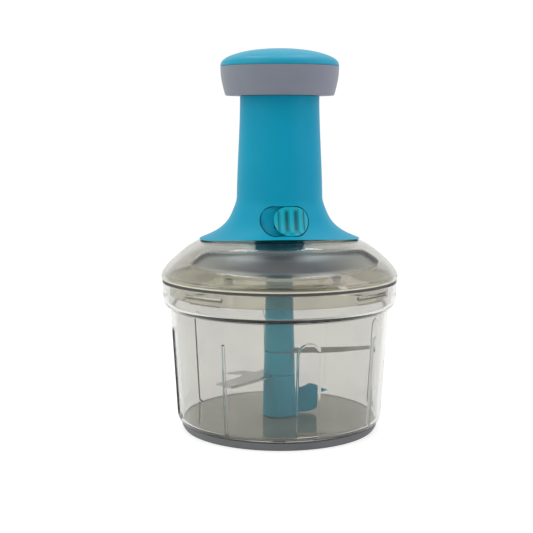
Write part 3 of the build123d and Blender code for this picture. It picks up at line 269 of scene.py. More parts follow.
def frosted(tree, frost, colour, rough, normal):
    # the finger scoops are etched matt, and painted dark for shade and the funnel behind, with painted light
    # at top and sides
    place = axes(tree)
    share = heldValue(tree, "frost")
    paintedPanel = clouded(tree, noiseValue(tree, frost["mottleSize"], detail=4), frost)
    # painted highlight: lighter towards the scoops' top
    high = scaledTo(tree, place["Z"], 0, 1, *map(mm, frost["highlightRise"]))
    paintedPanel = mixed(tree, "RGBA", high, paintedPanel, frost["top"])
    # painted light: paler towards the sides, where light comes through the thin wall
    aside = reckoned(tree, "ABSOLUTE", place["X"])
    aside = scaledTo(tree, aside, 0, 1, *map(mm, frost["seenThroughFade"]))
    paintedPanel = mixed(tree, "RGBA", aside, paintedPanel, frost["side"])
    colour = mixed(tree, "RGBA", share, colour, paintedPanel)
    # painted shade: a thin dark line where the etching starts; share * (1 - share) is a quarter at most
    creaseShade = reckoned(tree, "MULTIPLY", share, reckoned(tree, "SUBTRACT", 1, share))
    creaseShade = scaledTo(tree, creaseShade, 0, frost["creaseShadeShare"], 0, 0.25)
    colour = mixed(tree, "RGBA", creaseShade, colour, frost["creaseShade"])
    etched = bumped(tree, noiseValue(tree, frost["etchSize"], detail=5), frost["etchDepth"], normal)
    rough = mixed(tree, "FLOAT", share, rough, frost["rough"])
    return colour, rough, mixed(tree, "VECTOR", share, normal, etched)


def clearPlastic(name, looks):
    # tinted see-through wall, which lets the lamps through to what it holds
    looks = {**clearUsual, **looks}
    material, tree, shader = startMaterial(name)
    wave = noiseValue(tree, looks["waveSize"], detail=1)
    colour = clouded(tree, wave, looks)
    rough = scaledTo(tree, noiseValue(tree, looks["hazeSize"], detail=3), *looks["rough"])
    normal = bumped(tree, wave, looks["waveDepth"])
    feed(tree, shader, {"Transmission Weight": looks["through"], "IOR": looks["ior"]})
    if "frost" in looks:
        colour, rough, normal = frosted(tree, looks["frost"], colour, rough, normal)
    if "edge" in looks:
        # painted light: the dome's seat band is painted pale, and made hardly see-through
        edge = heldValue(tree, "edge")
        colour = mixed(tree, "RGBA", edge, colour, looks["edge"]["colour"])
        through = mixed(tree, "FLOAT", edge, looks["through"], looks["edge"]["through"])
        feed(tree, shader, {"Transmission Weight": through})
    feed(tree, shader, {"Base Color": colour, "Roughness": rough, "Normal": normal})
    # its shadow is only a tint
    path = tree.nodes.new("ShaderNodeLightPath")
    passing = added(tree, "ShaderNodeBsdfTransparent", {
        "Color": [part ** 0.5 for part in looks["colour"]]})
    mix = added(tree, "ShaderNodeMixShader", {0: path.outputs["Is Shadow Ray"], 1: shader.outputs[0],
                                              2: passing.outputs[0]})
    feed(tree, tree.nodes["Material Output"], {"Surface": mix.outputs[0]})
    return material


def steel(name, looks):
    looks = {**steelUsual, **looks}
    material, tree, shader = startMaterial(name)
    lines = noiseValue(tree, looks["lineSize"], detail=3, stretch=looks["stretch"])
    colour = clouded(tree, noiseValue(tree, looks["cloudSize"], detail=2), looks)
    feed(tree, shader, {"Base Color": colour, "Roughness": scaledTo(tree, lines, *looks["rough"]),
                        "Normal": bumped(tree, lines, looks["lineDepth"]), "Metallic": looks["metal"]})
    return material


mouldedLooks = {
    "neckTeal": {"colour": tone(0, 139, 169), "shade": tone(0, 133, 165), "rough": (0.4, 0.5),
                 "grainSize": 0.45, "grainDepth": 0.01, "gloss": 0.12},
    "buttonTeal": {"colour": tone(8, 152, 172), "shade": tone(4, 146, 165), "rough": (0.3, 0.4),
                   "grainSize": 0.45, "grainDepth": 0.008, "gloss": 0.2,
                   "grooves": {"middle": 3.5, "pitch": 5, "reach": 7.4, "rise": (0.1, 0.95),
                               "height": 120.9, "full": 4.4, "end": 6.6, "colour": tone(0, 84, 96)}},
    # painted shade: the dark bead round the lock window
    "shadeLineTeal": {"colour": tone(0, 44, 54), "shade": tone(0, 38, 48), "rough": (0.5, 0.6), "gloss": 0.1},
    "capTeal": {"colour": tone(14, 136, 164), "shade": tone(8, 130, 158), "rough": (0.42, 0.55),
                "grainDepth": 0.015, "coat": 0.12, "coatRough": 0.2, "gloss": 0.15},
    "softGrey": {"colour": tone(110, 115, 127), "shade": tone(103, 108, 121), "rough": (0.55, 0.7),
                 "grainSize": 0.4, "sheen": 0.15},
    "padGrey": {"colour": tone(92, 94, 97), "shade": tone(84, 86, 90), "rough": (0.5, 0.66),
                # the seat's pale tone is painted light
                "grainSize": 0.6, "grainDepth": 0.03, "other": tone(240, 240, 233)},
    "sealBlack": {"colour": tone(62, 62, 64), "shade": tone(54, 54, 57), "rough": (0.5, 0.62)},
    "postTeal": {"colour": tone(44, 166, 196), "shade": tone(38, 157, 188), "rough": (0.28, 0.4),
                 "grainDepth": 0.006, "gloss": 0.35},
    "darkTeal": {"colour": tone(74, 118, 132), "shade": tone(66, 109, 123), "rough": (0.4, 0.5)},
    "darkGrey": {"colour": tone(62, 64, 76), "shade": tone(52, 55, 66), "rough": (0.45, 0.6)},
    "housingGrey": {"colour": tone(62, 66, 78), "shade": tone(52, 57, 68), "rough": (0.45, 0.6),
                    # the foot's pale colour is painted light
                    "foot": {"colour": tone(222, 219, 204), "top": 93.5, "fade": 4}},
    "whitePlastic": {"colour": tone(228, 228, 222), "shade": tone(220, 219, 212), "rough": (0.35, 0.5)},
}
steelLooks = {
    "bladeSteel": {"colour": tone(172, 171, 168), "shade": tone(160, 159, 157), "rough": (0.5, 0.62),
                   "lineSize": 1.2, "stretch": (0.3, 6, 6), "metal": 0.6},
    "brightSteel": {"colour": tone(214, 214, 212), "shade": tone(200, 200, 200), "rough": (0.1, 0.18),
                    "lineSize": 1.5},
    "springSteel": {"colour": tone(168, 170, 172), "shade": tone(150, 152, 155), "rough": (0.25, 0.38),
                    "lineSize": 0.8},
}
clearLooks = {
    "bowlClear": {"colour": tone(217, 217, 212), "shade": tone(212, 211, 209), "rough": (0.0, 0.03),
                  "ior": 1.42},
    "plateSmoke": {"colour": tone(226, 223, 211), "shade": tone(217, 214, 202), "rough": (0.0, 0.03),
                   "through": 0.97, "ior": 1.02},
    "lidSmoke": {"colour": tone(214, 212, 203), "shade": tone(202, 201, 194), "rough": (0.02, 0.08),
                 # edge: painted light, pale on the dome's seat band
                 "edge": {"colour": tone(214, 211, 194), "through": 0.35},
                 # frost: painted shade, a painted highlight at the top, painted light at the sides and a
                 # painted shadow line
                 "frost": {"colour": tone(80, 94, 112), "shade": tone(68, 82, 100), "rough": 0.3,
                           "top": tone(186, 234, 243), "highlightRise": (101, 108),
                           "side": tone(168, 174, 176), "seenThroughFade": (14, 50),
                           "creaseShade": tone(40, 44, 54), "creaseShadeShare": 0.6,
                           "mottleSize": 11, "etchSize": 0.7, "etchDepth": 0.05}},
}
finishes = {}
for maker, table in ((mouldedPlastic, mouldedLooks), (steel, steelLooks), (clearPlastic, clearLooks)):
    finishes.update({name: maker(name, looks) for name, looks in table.items()})

finishNodes = {
    "padGrey": ["base_pad"], "bowlClear": ["bowl"], "sealBlack": ["seal_ring"], "lidSmoke": ["lid_dome"],
    "plateSmoke": ["lid_plate"], "housingGrey": ["clutch_housing"], "darkGrey": ["guide_bush"],
    "postTeal": ["blade_post", "upper_spacer", "blade_collar", "lower_spacer", "stirring_paddle"],
    "bladeSteel": ["upper_blade"], "brightSteel": ["lower_blade", "pivot_pin", "spiral_spindle", "nut_pins"],
    "springSteel": ["housing_screws", "return_spring", "neck_screws", "lock_screw", "knob_screws"],
    "whitePlastic": ["thrust_washer", "bearing_bush", "pawl_wheel", "spiral_nut"],
    "darkTeal": ["bearing_cap", "drive_socket"], "neckTeal": ["neck_shell", "lock_tongue", "plunger_tube"],
    "buttonTeal": ["lock_slider"], "softGrey": ["knob_base", "knob_grip"], "capTeal": ["knob_cap"],
}
for finish, nodes in finishNodes.items():
    for node in nodes:
        cadNodes[node].data.materials.clear()
        cadNodes[node].data.materials.append(finishes[finish])
print("materials made:", len(finishes))


# turning: chains of (radius, height, side) in millimetres swept round Z

def softened(corners, side=0):
    # the same corners as a chain, each rounded by its third number
    chain = []
    for i, corner in enumerate(corners):
        rounding = corner[2] if len(corner) > 2 else 0
        if rounding == 0:
            chain.append((corner[0], corner[1], side))
            continue
        here = Vector(corner[:2])
        before = Vector(corners[i - 1][:2]) - here
        after = Vector(corners[(i + 1) % len(corners)][:2]) - here
        pull = min(rounding, 0.42 * before.length, 0.42 * after.length)
        start, end = here + before.normalized() * pull, here + after.normalized() * pull
        chain.append((*(start + before.normalized() * 0.3 * pull), side))
        for step in range(5):
            t = step / 4
            spot = start * (1 - t) ** 2 + here * 2 * t * (1 - t) + end * t ** 2
            chain.append((*spot, side))
        chain.append((*(end + after.normalized() * 0.3 * pull), side))
    return chain


def flowing(points, perSpan, side=0):
    # a smooth curve through the points
    chain = []
    for i in range(len(points) - 1):
        p1, p2 = Vector(points[i]), Vector(points[i + 1])
        p0 = Vector(points[i - 1]) if i else p1 * 2 - p2
        p3 = Vector(points[i + 2]) if i + 2 < len(points) else p2 * 2 - p1
        for step in range(perSpan):
            t = step / perSpan
            spot = 0.5 * (p1 * 2 + (p2 - p0) * t + (p0 * 2 - p1 * 5 + p2 * 4 - p3) * t ** 2
                          + (p1 * 3 - p0 - p2 * 3 + p3) * t ** 3)
            chain.append((spot.x, spot.y, side))
    chain.append((points[-1][0], points[-1][1], side))
    return chain


def straight(start, end, step, side=0):
    # points along a straight run, its end left out
    count = max(1, round(hypot(end[0] - start[0], end[1] - start[1]) / step))
    return [(start[0] + (end[0] - start[0]) * i / count, start[1] + (end[1] - start[1]) * i / count, side)
            for i in range(count)]


def inward(points, depth):
    # the same points moved to their right by depth
    moved = []
    for i, point in enumerate(points):
        before, after = points[max(i - 1, 0)], points[min(i + 1, len(points) - 1)]
        run, rise = after[0] - before[0], after[1] - before[1]
        length = hypot(run, rise)
        moved.append((point[0] + depth * rise / length, point[1] - depth * run / length))
    return moved


def anglesRound(coarse, features=()):
    # angles in radians all the way round, finer where a feature stands
    marks = set()
    for centre, reach, fine in features:
        count = max(1, round(2 * reach / fine))
        marks.update(round((centre - reach + 2 * reach * i / count) % 360, 3) for i in range(count + 1))
    for i in range(round(360 / coarse)):
        angle = i * coarse
        if all(abs((angle - centre + 180) % 360 - 180) > reach + 0.4 * coarse
               for centre, reach, fine in features):
            marks.add(round(angle % 360, 3))
    return [radians(mark) for mark in sorted(marks)]


def padFeatures(pads):
    # the four pads' own places, or the two ends of each where they are wide
    ends = [-pads["halfTurn"], pads["halfTurn"]] if "halfTurn" in pads else [0]
    return [(pads["turn"] + 90 * i + end, pads["reach"], pads["fine"]) for i in range(4) for end in ends]


def pieceFrom(form, name):
    shape = bpy.data.meshes.new(name)
    form.to_mesh(shape)
    form.free()
    return addObject(name, shape)


def turned(name, chain, angles):
    # a closed form of revolution; both ends of the chain on the axis, or a closed loop
    form = bmesh.new()
    skin = form.verts.layers.float.new("skin")
    rows = []
    for angle in angles:
        row = []
        for radius, height, side in chain:
            vert = form.verts.new((mm(radius) * cos(angle), mm(radius) * sin(angle), mm(height)))
            vert[skin] = side
            row.append(vert)
        rows.append(row)
    spans = len(chain) - 1 if chain[0][0] == 0 and chain[-1][0] == 0 else len(chain)
    for i, row in enumerate(rows):
        after = rows[(i + 1) % len(rows)]
        for j in range(spans):
            k = (j + 1) % len(chain)
            form.faces.new((row[j], after[j], after[k], row[k])).smooth = True
    bmesh.ops.remove_doubles(form, verts=form.verts, dist=1e-7)
    bmesh.ops.recalc_face_normals(form, faces=form.faces)
    return pieceFrom(form, name)


def finished(piece, finish, slot, *nodes):
    # the piece stands for the CAD nodes, rides with their body and takes its finish
    if not piece.data.materials:
        piece.data.materials.append(finishes[finish])
    piece.data.materials[0] = finishes[finish]
    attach(piece, bodyOf[nodes[0]])
    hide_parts(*nodes)


# geometry nodes

def startTree(name, inputs):
    # an input without a value is a material
    tree = bpy.data.node_groups.new(name, "GeometryNodeTree")
    tree.interface.new_socket("Geometry", in_out="INPUT", socket_type="NodeSocketGeometry")
    for label, value in inputs.items():
        if value is None:
            tree.interface.new_socket(label, in_out="INPUT", socket_type="NodeSocketMaterial")
        else:
            kind = "NodeSocketInt" if isinstance(value, int) else "NodeSocketFloat"
            tree.interface.new_socket(label, in_out="INPUT", socket_type=kind).default_value = value
    tree.interface.new_socket("Geometry", in_out="OUTPUT", socket_type="NodeSocketGeometry")
    return tree, tree.nodes.new("NodeGroupInput").outputs, tree.nodes.new("NodeGroupOutput")


def closing(tree, inlet, leave, geometry):
    real = added(tree, "GeometryNodeRealizeInstances", {0: geometry})
    paint = added(tree, "GeometryNodeSetMaterial", {"Geometry": real.outputs[0], "Material": inlet["Finish"]})
    feed(tree, leave, {0: paint.outputs[0]})
    return tree


def lengthOf(tree, first, second):
    squares = [reckoned(tree, "MULTIPLY", part, part) for part in (first, second)]
    return reckoned(tree, "SQRT", reckoned(tree, "ADD", *squares))


def addTree(piece, tree, values):
    # the inputs are set by their sockets' identifiers before the first look at the result
    modifier = piece.modifiers.new(tree.name, "NODES")
    modifier.node_group = tree
    sockets = {item.name: item.identifier for item in tree.interface.items_tree
               if item.item_type == "SOCKET" and item.in_out == "INPUT"}
    for label, value in values.items():
        modifier[sockets[label]] = value


def settled(piece):
    # the modifiers' result as the piece's own plain mesh
    bpy.context.view_layer.update()
    shape = bpy.data.meshes.new_from_object(piece.evaluated_get(bpy.context.evaluated_depsgraph_get()))
    piece.modifiers.clear()
    piece.data = shape
    return piece


def raisedPadsTree():
    # moves one side of a turned wall in or out, in pads spaced evenly round it
    tree, inlet, leave = startTree("raisedPads", {
        "Copies": 4, "First Turn": 0.0, "Half Width": 0.005, "Low": 0.0, "High": 0.05, "Arched": 0.0,
        "Soft": 0.001, "Depth": 0.001, "Side": 1.0, "Finish": None})
    place = tree.nodes.new("GeometryNodeInputPosition")
    x, y, z = added(tree, "ShaderNodeSeparateXYZ", {0: place.outputs[0]}).outputs
    radius = lengthOf(tree, x, y)
    turn = reckoned(tree, "SUBTRACT", reckoned(tree, "ARCTAN2", y, x), inlet["First Turn"])
    pitch = reckoned(tree, "DIVIDE", 2 * pi, inlet["Copies"])
    nearest = reckoned(tree, "ROUND", reckoned(tree, "DIVIDE", turn, pitch))
    off = reckoned(tree, "SUBTRACT", turn, reckoned(tree, "MULTIPLY", pitch, nearest))
    along = reckoned(tree, "MULTIPLY", off, radius)
    archFoot = reckoned(tree, "SUBTRACT", inlet["High"], inlet["Half Width"])
    above = reckoned(tree, "MAXIMUM", 0.0, reckoned(tree, "SUBTRACT", z, archFoot))
    away = lengthOf(tree, along, reckoned(tree, "MULTIPLY", inlet["Arched"], above))
    inside = reckoned(tree, "SUBTRACT", inlet["Half Width"], away)
    inside = reckoned(tree, "MINIMUM", inside, reckoned(tree, "SUBTRACT", z, inlet["Low"]))
    inside = reckoned(tree, "MINIMUM", inside, reckoned(tree, "SUBTRACT", inlet["High"], z))
    ramp = scaledTo(tree, inside, 0, 1, 0, inlet["Soft"], "SMOOTHSTEP")
    skin = added(tree, "GeometryNodeInputNamedAttribute", {"Name": "skin"}, data_type="FLOAT")
    same = reckoned(tree, "COMPARE", skin.outputs["Attribute"], inlet["Side"], 0.1)
    move = reckoned(tree, "MULTIPLY", reckoned(tree, "MULTIPLY", ramp, same), inlet["Depth"])
    share = reckoned(tree, "DIVIDE", move, reckoned(tree, "MAXIMUM", radius, 0.0001))
    offset = added(tree, "ShaderNodeCombineXYZ", {axis: reckoned(tree, "MULTIPLY", part, share)
                                                  for axis, part in enumerate((x, y))})
    shift = added(tree, "GeometryNodeSetPosition", {
        "Geometry": inlet["Geometry"], "Offset": offset.outputs[0]})
    return closing(tree, inlet, leave, shift.outputs[0])


def ringOfCopiesTree():
    # the piece's own shape set out round the Z axis
    tree, inlet, leave = startTree("ringOfCopies", {
        "Copies": 3, "Radius": 0.03, "Height": 0.0, "First Turn": 0.0, "Step Turn": 2.0, "Finish": None})
    index = tree.nodes.new("GeometryNodeInputIndex")
    steps = reckoned(tree, "MULTIPLY", index.outputs[0], inlet["Step Turn"])
    turn = reckoned(tree, "ADD", inlet["First Turn"], steps)
    spot = added(tree, "ShaderNodeCombineXYZ", {
        0: reckoned(tree, "MULTIPLY", inlet["Radius"], reckoned(tree, "COSINE", turn)),
        1: reckoned(tree, "MULTIPLY", inlet["Radius"], reckoned(tree, "SINE", turn)), 2: inlet["Height"]})
    points = added(tree, "GeometryNodePoints", {"Count": inlet["Copies"], "Position": spot.outputs[0]})
    facing = added(tree, "ShaderNodeCombineXYZ", {2: turn})
    copies = added(tree, "GeometryNodeInstanceOnPoints", {
        "Points": points.outputs[0], "Instance": inlet["Geometry"], "Rotation": facing.outputs[0]})
    return closing(tree, inlet, leave, copies.outputs[0])


def beadTree():
    # a round bead along the piece's own edges
    tree, inlet, leave = startTree("beadAlongEdges", {"Radius": 0.0003, "Sides": 8, "Finish": None})
    line = added(tree, "GeometryNodeMeshToCurve", {0: inlet["Geometry"]})
    ring = added(tree, "GeometryNodeCurvePrimitiveCircle", {
        "Resolution": inlet["Sides"], "Radius": inlet["Radius"]})
    bead = added(tree, "GeometryNodeCurveToMesh", {
        "Curve": line.outputs[0], "Profile Curve": ring.outputs[0]})
    return closing(tree, inlet, leave, bead.outputs[0])


raisedPads, ringOfCopies, beadAlongEdges = raisedPadsTree(), ringOfCopiesTree(), beadTree()
print("node trees ready")


def addPads(piece, pads, finish):
    width = radians(pads["halfTurn"]) * pads["radius"] if "halfTurn" in pads else pads["halfWidth"]
    addTree(piece, raisedPads, {
        "Copies": 4, "First Turn": radians(pads["turn"]), "Half Width": mm(width), "Low": mm(pads["low"]),
        "High": mm(pads["high"]), "Arched": pads["arched"], "Soft": mm(pads["soft"]),
        "Depth": mm(pads["depth"]), "Side": pads["side"], "Finish": finishes[finish]})


# clear bowl; a spacing, and a pad's reach and fine spacing, are in degrees

bowlSizes = {
    "foot": 3.46, "footRadius": 55.25, "lip": 4.55, "lipRadius": 56.75,
    "heel": [(57.7, 5.35), (58.5, 6.7)], "wallFoot": (58.9, 8.7),
    "ledge": (62.5, 69.8), "ledgeRound": 0.5, "ledgeBelow": (4, 1.5),
    "rim": (67, 85.3), "rimRound": 0.7, "rimShape": [(0.5, 0.09), (0.85, 0.25), (0.95, 0.52)],
    "wall": 2.3, "floor": 6.0, "corner": 3.5, "cornerTop": 12,
    "bossRadius": 5.2, "bossDraft": 0.34, "bossTop": 9.2, "pinHole": 2.55, "pinFoot": 4.7,
    "footRings": (0, 20, 40), "floorRings": (50, 40, 25, 12), "spacing": 3,
    "wallStep": 2.2, "archStep": 0.45, "ribStep": 2.6, "ribTopStep": 0.4, "ribTopRun": 4, "padMargin": 1,
    "neckStart": 1.2, "neckStep": 0.3, "neckDraft": 0.005, "neckRows": 17, "neckEnd": 6.2,
    "flutes": {"turn": -81, "halfWidth": 6.5, "low": 5, "high": 59.5, "depth": -0.9, "soft": 0.8,
               "arched": 1.0, "side": 1.0, "reach": 7.4, "fine": 0.42},
    "ribs": {"turn": -36, "halfWidth": 0.85, "low": 5, "high": 56.9, "depth": -1.6, "soft": 0.45,
             "arched": 0.0, "side": -1.0, "reach": 1.4, "fine": 0.2},
    "lugs": {"turn": 45, "halfTurn": 12, "radius": 64.7, "low": 80.4, "high": 82.8, "depth": -0.7,
             "soft": 1.15, "arched": 0.0, "side": -2.0, "reach": 1.2, "fine": 0.4},
}


def buildBowl():
    size = bowlSizes
    foot, floor, wall, boss = size["foot"], size["floor"], size["wall"], size["bossRadius"]
    wallFoot, ledge, rim, margin = size["wallFoot"], size["ledge"], size["rim"], size["padMargin"]
    flutes, ribs, lugs = size["flutes"], size["ribs"], size["lugs"]
    slope = (ledge[0] - wallFoot[0]) / (ledge[1] - wallFoot[1])

    def outer(z):
        return wallFoot[0] + slope * (z - wallFoot[1]), z

    def inner(z):
        return wallFoot[0] + slope * (z - wallFoot[1]) - wall, z

    # outside, from the middle of the foot up to the rim
    footEdge, lip = size["footRadius"], (size["lipRadius"], size["lip"])
    archFoot, archTop = outer(flutes["high"] - flutes["halfWidth"] - margin), outer(flutes["high"] + margin)
    chain = [(radius, foot, 0) for radius in size["footRings"]]
    chain += softened([chain[-1][:2], (footEdge, foot, 0.3), (footEdge, lip[1]), lip])[1:-1]
    chain += flowing([lip] + size["heel"] + [wallFoot], perSpan=3)[:-1]
    chain += straight(wallFoot, archFoot, size["wallStep"], side=1)
    chain += straight(archFoot, archTop, size["archStep"], side=1) + [(*archTop, 1)]
    chain += [(*outer(ledge[1] - below), side) for below, side in zip(size["ledgeBelow"], (1, 0))]
    rimLine = flowing([ledge] + [(ledge[0] + u * (rim[0] - ledge[0]), ledge[1] + v * (rim[1] - ledge[1]))
                                 for u, v in size["rimShape"]] + [rim], perSpan=5)
    chain += softened([outer(ledge[1] - 2), (*ledge, size["ledgeRound"]), rimLine[1][:2]])[1:-1]
    neck = rim[0] - wall
    chain += rimLine[1:-4] + softened([rimLine[-5][:2], (*rim, size["rimRound"]),
                                       (neck, rim[1], size["rimRound"]), (neck, rim[1] - 3)])[1:-1]
    # inside, from the straight neck where the lugs stand; the wall keeps its thickness under the flare
    chain += [(neck - size["neckDraft"] * i, rim[1] - size["neckStart"] - size["neckStep"] * i, -2)
              for i in range(size["neckRows"])]
    shoulder = inward([spot[:2] for spot in rimLine], -wall)
    first, second = shoulder[:2]
    cornerZ = first[1] + (inner(first[1])[0] - first[0]) * (second[1] - first[1]) / (second[0] - first[0])
    chain += [(r, z, 0) for r, z in shoulder[::-1] if z < rim[1] - size["neckEnd"]]
    chain += softened([first, (*inner(cornerZ), size["ledgeRound"]), inner(cornerZ - 4)])[1:]
    # down the wall past the ribs, round the corner and over the floor to the boss
    ribTop, ribRun, low = ribs["high"] + margin, size["ribTopRun"], size["cornerTop"]
    chain += [(*inner(ribTop + 6), 0)]
    chain += straight(inner(ribTop), inner(ribTop - ribRun), size["ribTopStep"], side=-1)
    chain += straight(inner(ribTop - ribRun), inner(low), size["ribStep"], side=-1) + [(*inner(low), -1)]
    floorRings = [(radius, floor) for radius in size["floorRings"]]
    chain += softened([inner(low), (inner(floor)[0], floor, size["corner"]), floorRings[1]], side=-1)[1:-1]
    chain += [(*ring, 0) for ring in floorRings]
    chain += softened([chain[-1][:2], (boss, floor, 0.6), (boss - size["bossDraft"], size["bossTop"], 0.5),
                       (size["pinHole"], size["bossTop"], 0.3), (size["pinHole"], size["pinFoot"]),
                       (0, size["pinFoot"])])[1:]
    features = padFeatures(flutes) + padFeatures(ribs) + padFeatures(lugs)
    piece = turned("clearBowl", chain, anglesRound(size["spacing"], features))
    for pads in (flutes, ribs, lugs):
        addPads(piece, pads, "bowlClear")
    finished(settled(piece), "bowlClear", "clear_plastic", "bowl")
    print("bowl:", len(piece.data.polygons), "faces")


buildBowl()


# smoke dome with its finger scoops

domeSizes = {
    "landRadius": 33, "top": 111.9, "radius": 67.5, "shoulder": 88.5, "foot": 86.8, "hole": 22.6, "wall": 2.4,
    "shape": [(0.154, 0.948), (0.368, 0.838), (0.594, 0.66), (0.823, 0.394), (0.959, 0.19)],
    "landRings": (24.5, 28.5), "innerLand": 34, "seatBand": 0.9, "spacing": 1.8,
    "scoopDepth": 0.95, "scoopSoft": 3.0, "scoopRound": 5.5, "scoopHalfWidth": 52,
    "scoopSide": [(0.84, 0.745), (1.03, 0.46), (0.96, 0.36)], "scoopCrown": 0.84, "scoopSill": 0.285,
    "scoopReach": 56, "scoopLow": 3, "scoopHigh": 1, "frostInset": 0.4,
    "sideTurn": 51, "sideReach": 7, "sideFine": 0.7,        # degrees, finer where the scoops end
}


def arcThrough(end, middle, count=20):
    # points on the circle through the end, its mirror image and the middle height at x = 0
    half, rise = end[0], middle - end[1]
    radius = (half ** 2 + rise ** 2) / (2 * abs(rise))
    way = 1 if rise > 0 else -1
    return [(x, middle - way * radius + way * (radius ** 2 - x ** 2) ** 0.5)
            for x in [-half + 2 * half * i / count for i in range(count + 1)]]


def scoopOutline():
    size = domeSizes
    low, tall = size["foot"], size["top"] - size["foot"]
    right = [(size["scoopHalfWidth"] * u, low + tall * v) for u, v in size["scoopSide"]]
    left = [(-x, z) for x, z in right]
    crown = arcThrough(right[0], low + tall * size["scoopCrown"])
    sill = arcThrough(right[-1], low + tall * size["scoopSill"])
    return crown + right[1:] + sill[::-1][1:] + left[-2:0:-1]


def eased(outline, reach, step=2):
    # the same closed outline in even steps, its corners rounded over the reach
    spots = []
    for i, end in enumerate(outline):
        start, end = Vector(outline[i - 1]), Vector(end)
        count = max(1, round((end - start).length / step))
        spots += [start.lerp(end, part / count) for part in range(count)]
    half = round(reach / (2 * step))
    for turn in range(2):
        spots = [sum((spots[(i + j) % len(spots)] for j in range(-half, half + 1)), Vector((0, 0)))
                 / (2 * half + 1) for i in range(len(spots))]
    return [(spot.x, spot.y) for spot in spots]


def depthInside(x, z, outline):
    # how far a point lies inside the outline, below nought outside it
    nearest, within = 1e9, False
    for i, (ax, az) in enumerate(outline):
        bx, bz = outline[i - 1]
        run, rise = bx - ax, bz - az
        t = max(0, min(1, ((x - ax) * run + (z - az) * rise) / (run * run + rise * rise + 1e-9)))
        nearest = min(nearest, hypot(x - ax - t * run, z - az - t * rise))
        if (az > z) != (bz > z) and x < ax + (z - az) / (bz - az) * run:
            within = not within
    return nearest if within else -nearest


def pressScoops(shape):
    # presses the scoops in, and marks their etching and the seat band that the finish paints pale as painted
    # light
    size = domeSizes
    outline = eased(scoopOutline(), size["scoopRound"])
    frost = shape.attributes.new("frost", "FLOAT", "POINT")
    edge = shape.attributes.new("edge", "FLOAT", "POINT")
    skin = shape.attributes["skin"].data
    moves = []
    for vert in shape.vertices:
        x, z = vert.co.x * 1000, vert.co.z * 1000
        edge.data[vert.index].value = 1 if z < size["foot"] + size["seatBand"] else 0
        onBand = size["foot"] + size["scoopLow"] < z < size["top"] - size["scoopHigh"]
        if skin[vert.index].value == 1 and abs(x) < size["scoopReach"] and onBand:
            deep = depthInside(x, z, outline)
            share = max(0, min(1, deep / size["scoopSoft"]))
            share = share * share * (3 - 2 * share)
            if share:
                moves.append((vert, vert.co - vert.normal * mm(size["scoopDepth"]) * share))
            frost.data[vert.index].value = max(0, min(1, deep - size["frostInset"]))
    for vert, place in moves:
        vert.co = place
    shape.update()


def buildDome():
    size = domeSizes
    start, end = (size["landRadius"], size["top"]), (size["radius"], size["shoulder"])
    foot, tall = size["foot"], size["top"] - size["foot"]
    under, bore = size["top"] - size["wall"], size["radius"] - size["wall"]
    land = [(radius, size["top"], 0) for radius in size["landRings"]]
    shape = [(start[0] + u * (end[0] - start[0]), foot + v * tall) for u, v in size["shape"]]
    points = [start] + shape + [end]
    outer = flowing(points, perSpan=11, side=1)
    inner = flowing(inward(points, size["wall"])[1:-1] + [(bore, size["shoulder"])], perSpan=4)
    chain = land + outer[:-1]
    chain += softened([outer[-2][:2], (size["radius"], size["shoulder"] - 0.3, 0.3),
                       (size["radius"], foot, 0.5), (bore, foot, 0.2), inner[-1][:2]])[1:-1]
    chain += inner[::-1]
    chain += softened([(size["innerLand"], under), (size["hole"], under, 0.4),
                       (size["hole"], size["top"], 0.5), land[0][:2]])[:-1]
    features = [(side * 90 + way * size["sideTurn"], size["sideReach"], size["sideFine"])
                for side in (-1, 1) for way in (-1, 1)]
    piece = turned("smokeDome", chain, anglesRound(size["spacing"], features))
    pressScoops(piece.data)
    finished(piece, "lidSmoke", "smoke_plastic", "lid_dome")
    print("dome:", len(piece.data.polygons), "faces")


buildDome()


# lid plate with its skirt, hooks and journal

plateSizes = {
    "foot": 86.8, "top": 88.8, "radius": 65.05, "hub": 8.5, "spacing": 2.5,
    "skirtOuter": 62.25, "skirtInner": 60.25, "skirtFoot": 77.6,
    "journalOuter": 13.98, "journalInner": 12.08, "journalTop": 93.8,
    "footBand": (1.2, 2.6), "hookBand": (0.6, 3.6), "hookStep": 0.25, "hookRows": 11,
    "hooks": {"turn": 45, "halfTurn": 10, "radius": 62.25, "low": 74.6, "high": 80.0, "depth": 1.7,
              "soft": 0.4, "arched": 0.0, "side": 1.0, "reach": 1.2, "fine": 0.4},
}


def buildPlate():
    size = plateSizes
    hub, foot, top, radius = size["hub"], size["foot"], size["top"], size["radius"]
    skirt, skirtFoot, skirtInner = size["skirtOuter"], size["skirtFoot"], size["skirtInner"]
    journal, bore, journalTop = size["journalOuter"], size["journalInner"], size["journalTop"]
    (deep, tall), (bandFoot, bandTop) = size["footBand"], size["hookBand"]
    chain = softened([(hub, top, 0.3), (hub, foot, 0.3), (skirtInner, foot, 1.2),
                      (skirtInner, skirtFoot, 0.5), (skirt, skirtFoot, 0.4)])
    # the hooks are drawn out of the skirt's foot and outer face, which are side 1
    chain = [(r, z, 1 if r > skirt - deep and z < skirtFoot + tall else 0) for r, z, side in chain]
    chain += [(skirt, skirtFoot + bandFoot + size["hookStep"] * i, 1) for i in range(size["hookRows"])]
    chain += softened([(skirt, skirtFoot + bandTop), (skirt, foot, 0.8), (radius, foot, 0.4),
                       (radius, top, 0.4), (journal, top, 0.8), (journal, journalTop, 0.3),
                       (bore, journalTop, 0.3), (bore, top, 0.2), (hub, top)])[1:-1]
    piece = turned("lidPlateRing", chain, anglesRound(size["spacing"], padFeatures(size["hooks"])))
    addPads(piece, size["hooks"], "plateSmoke")
    finished(settled(piece), "plateSmoke", "smoke_plastic", "lid_plate")
    print("lid plate:", len(piece.data.polygons), "faces")


buildPlate()


# seal and base pad

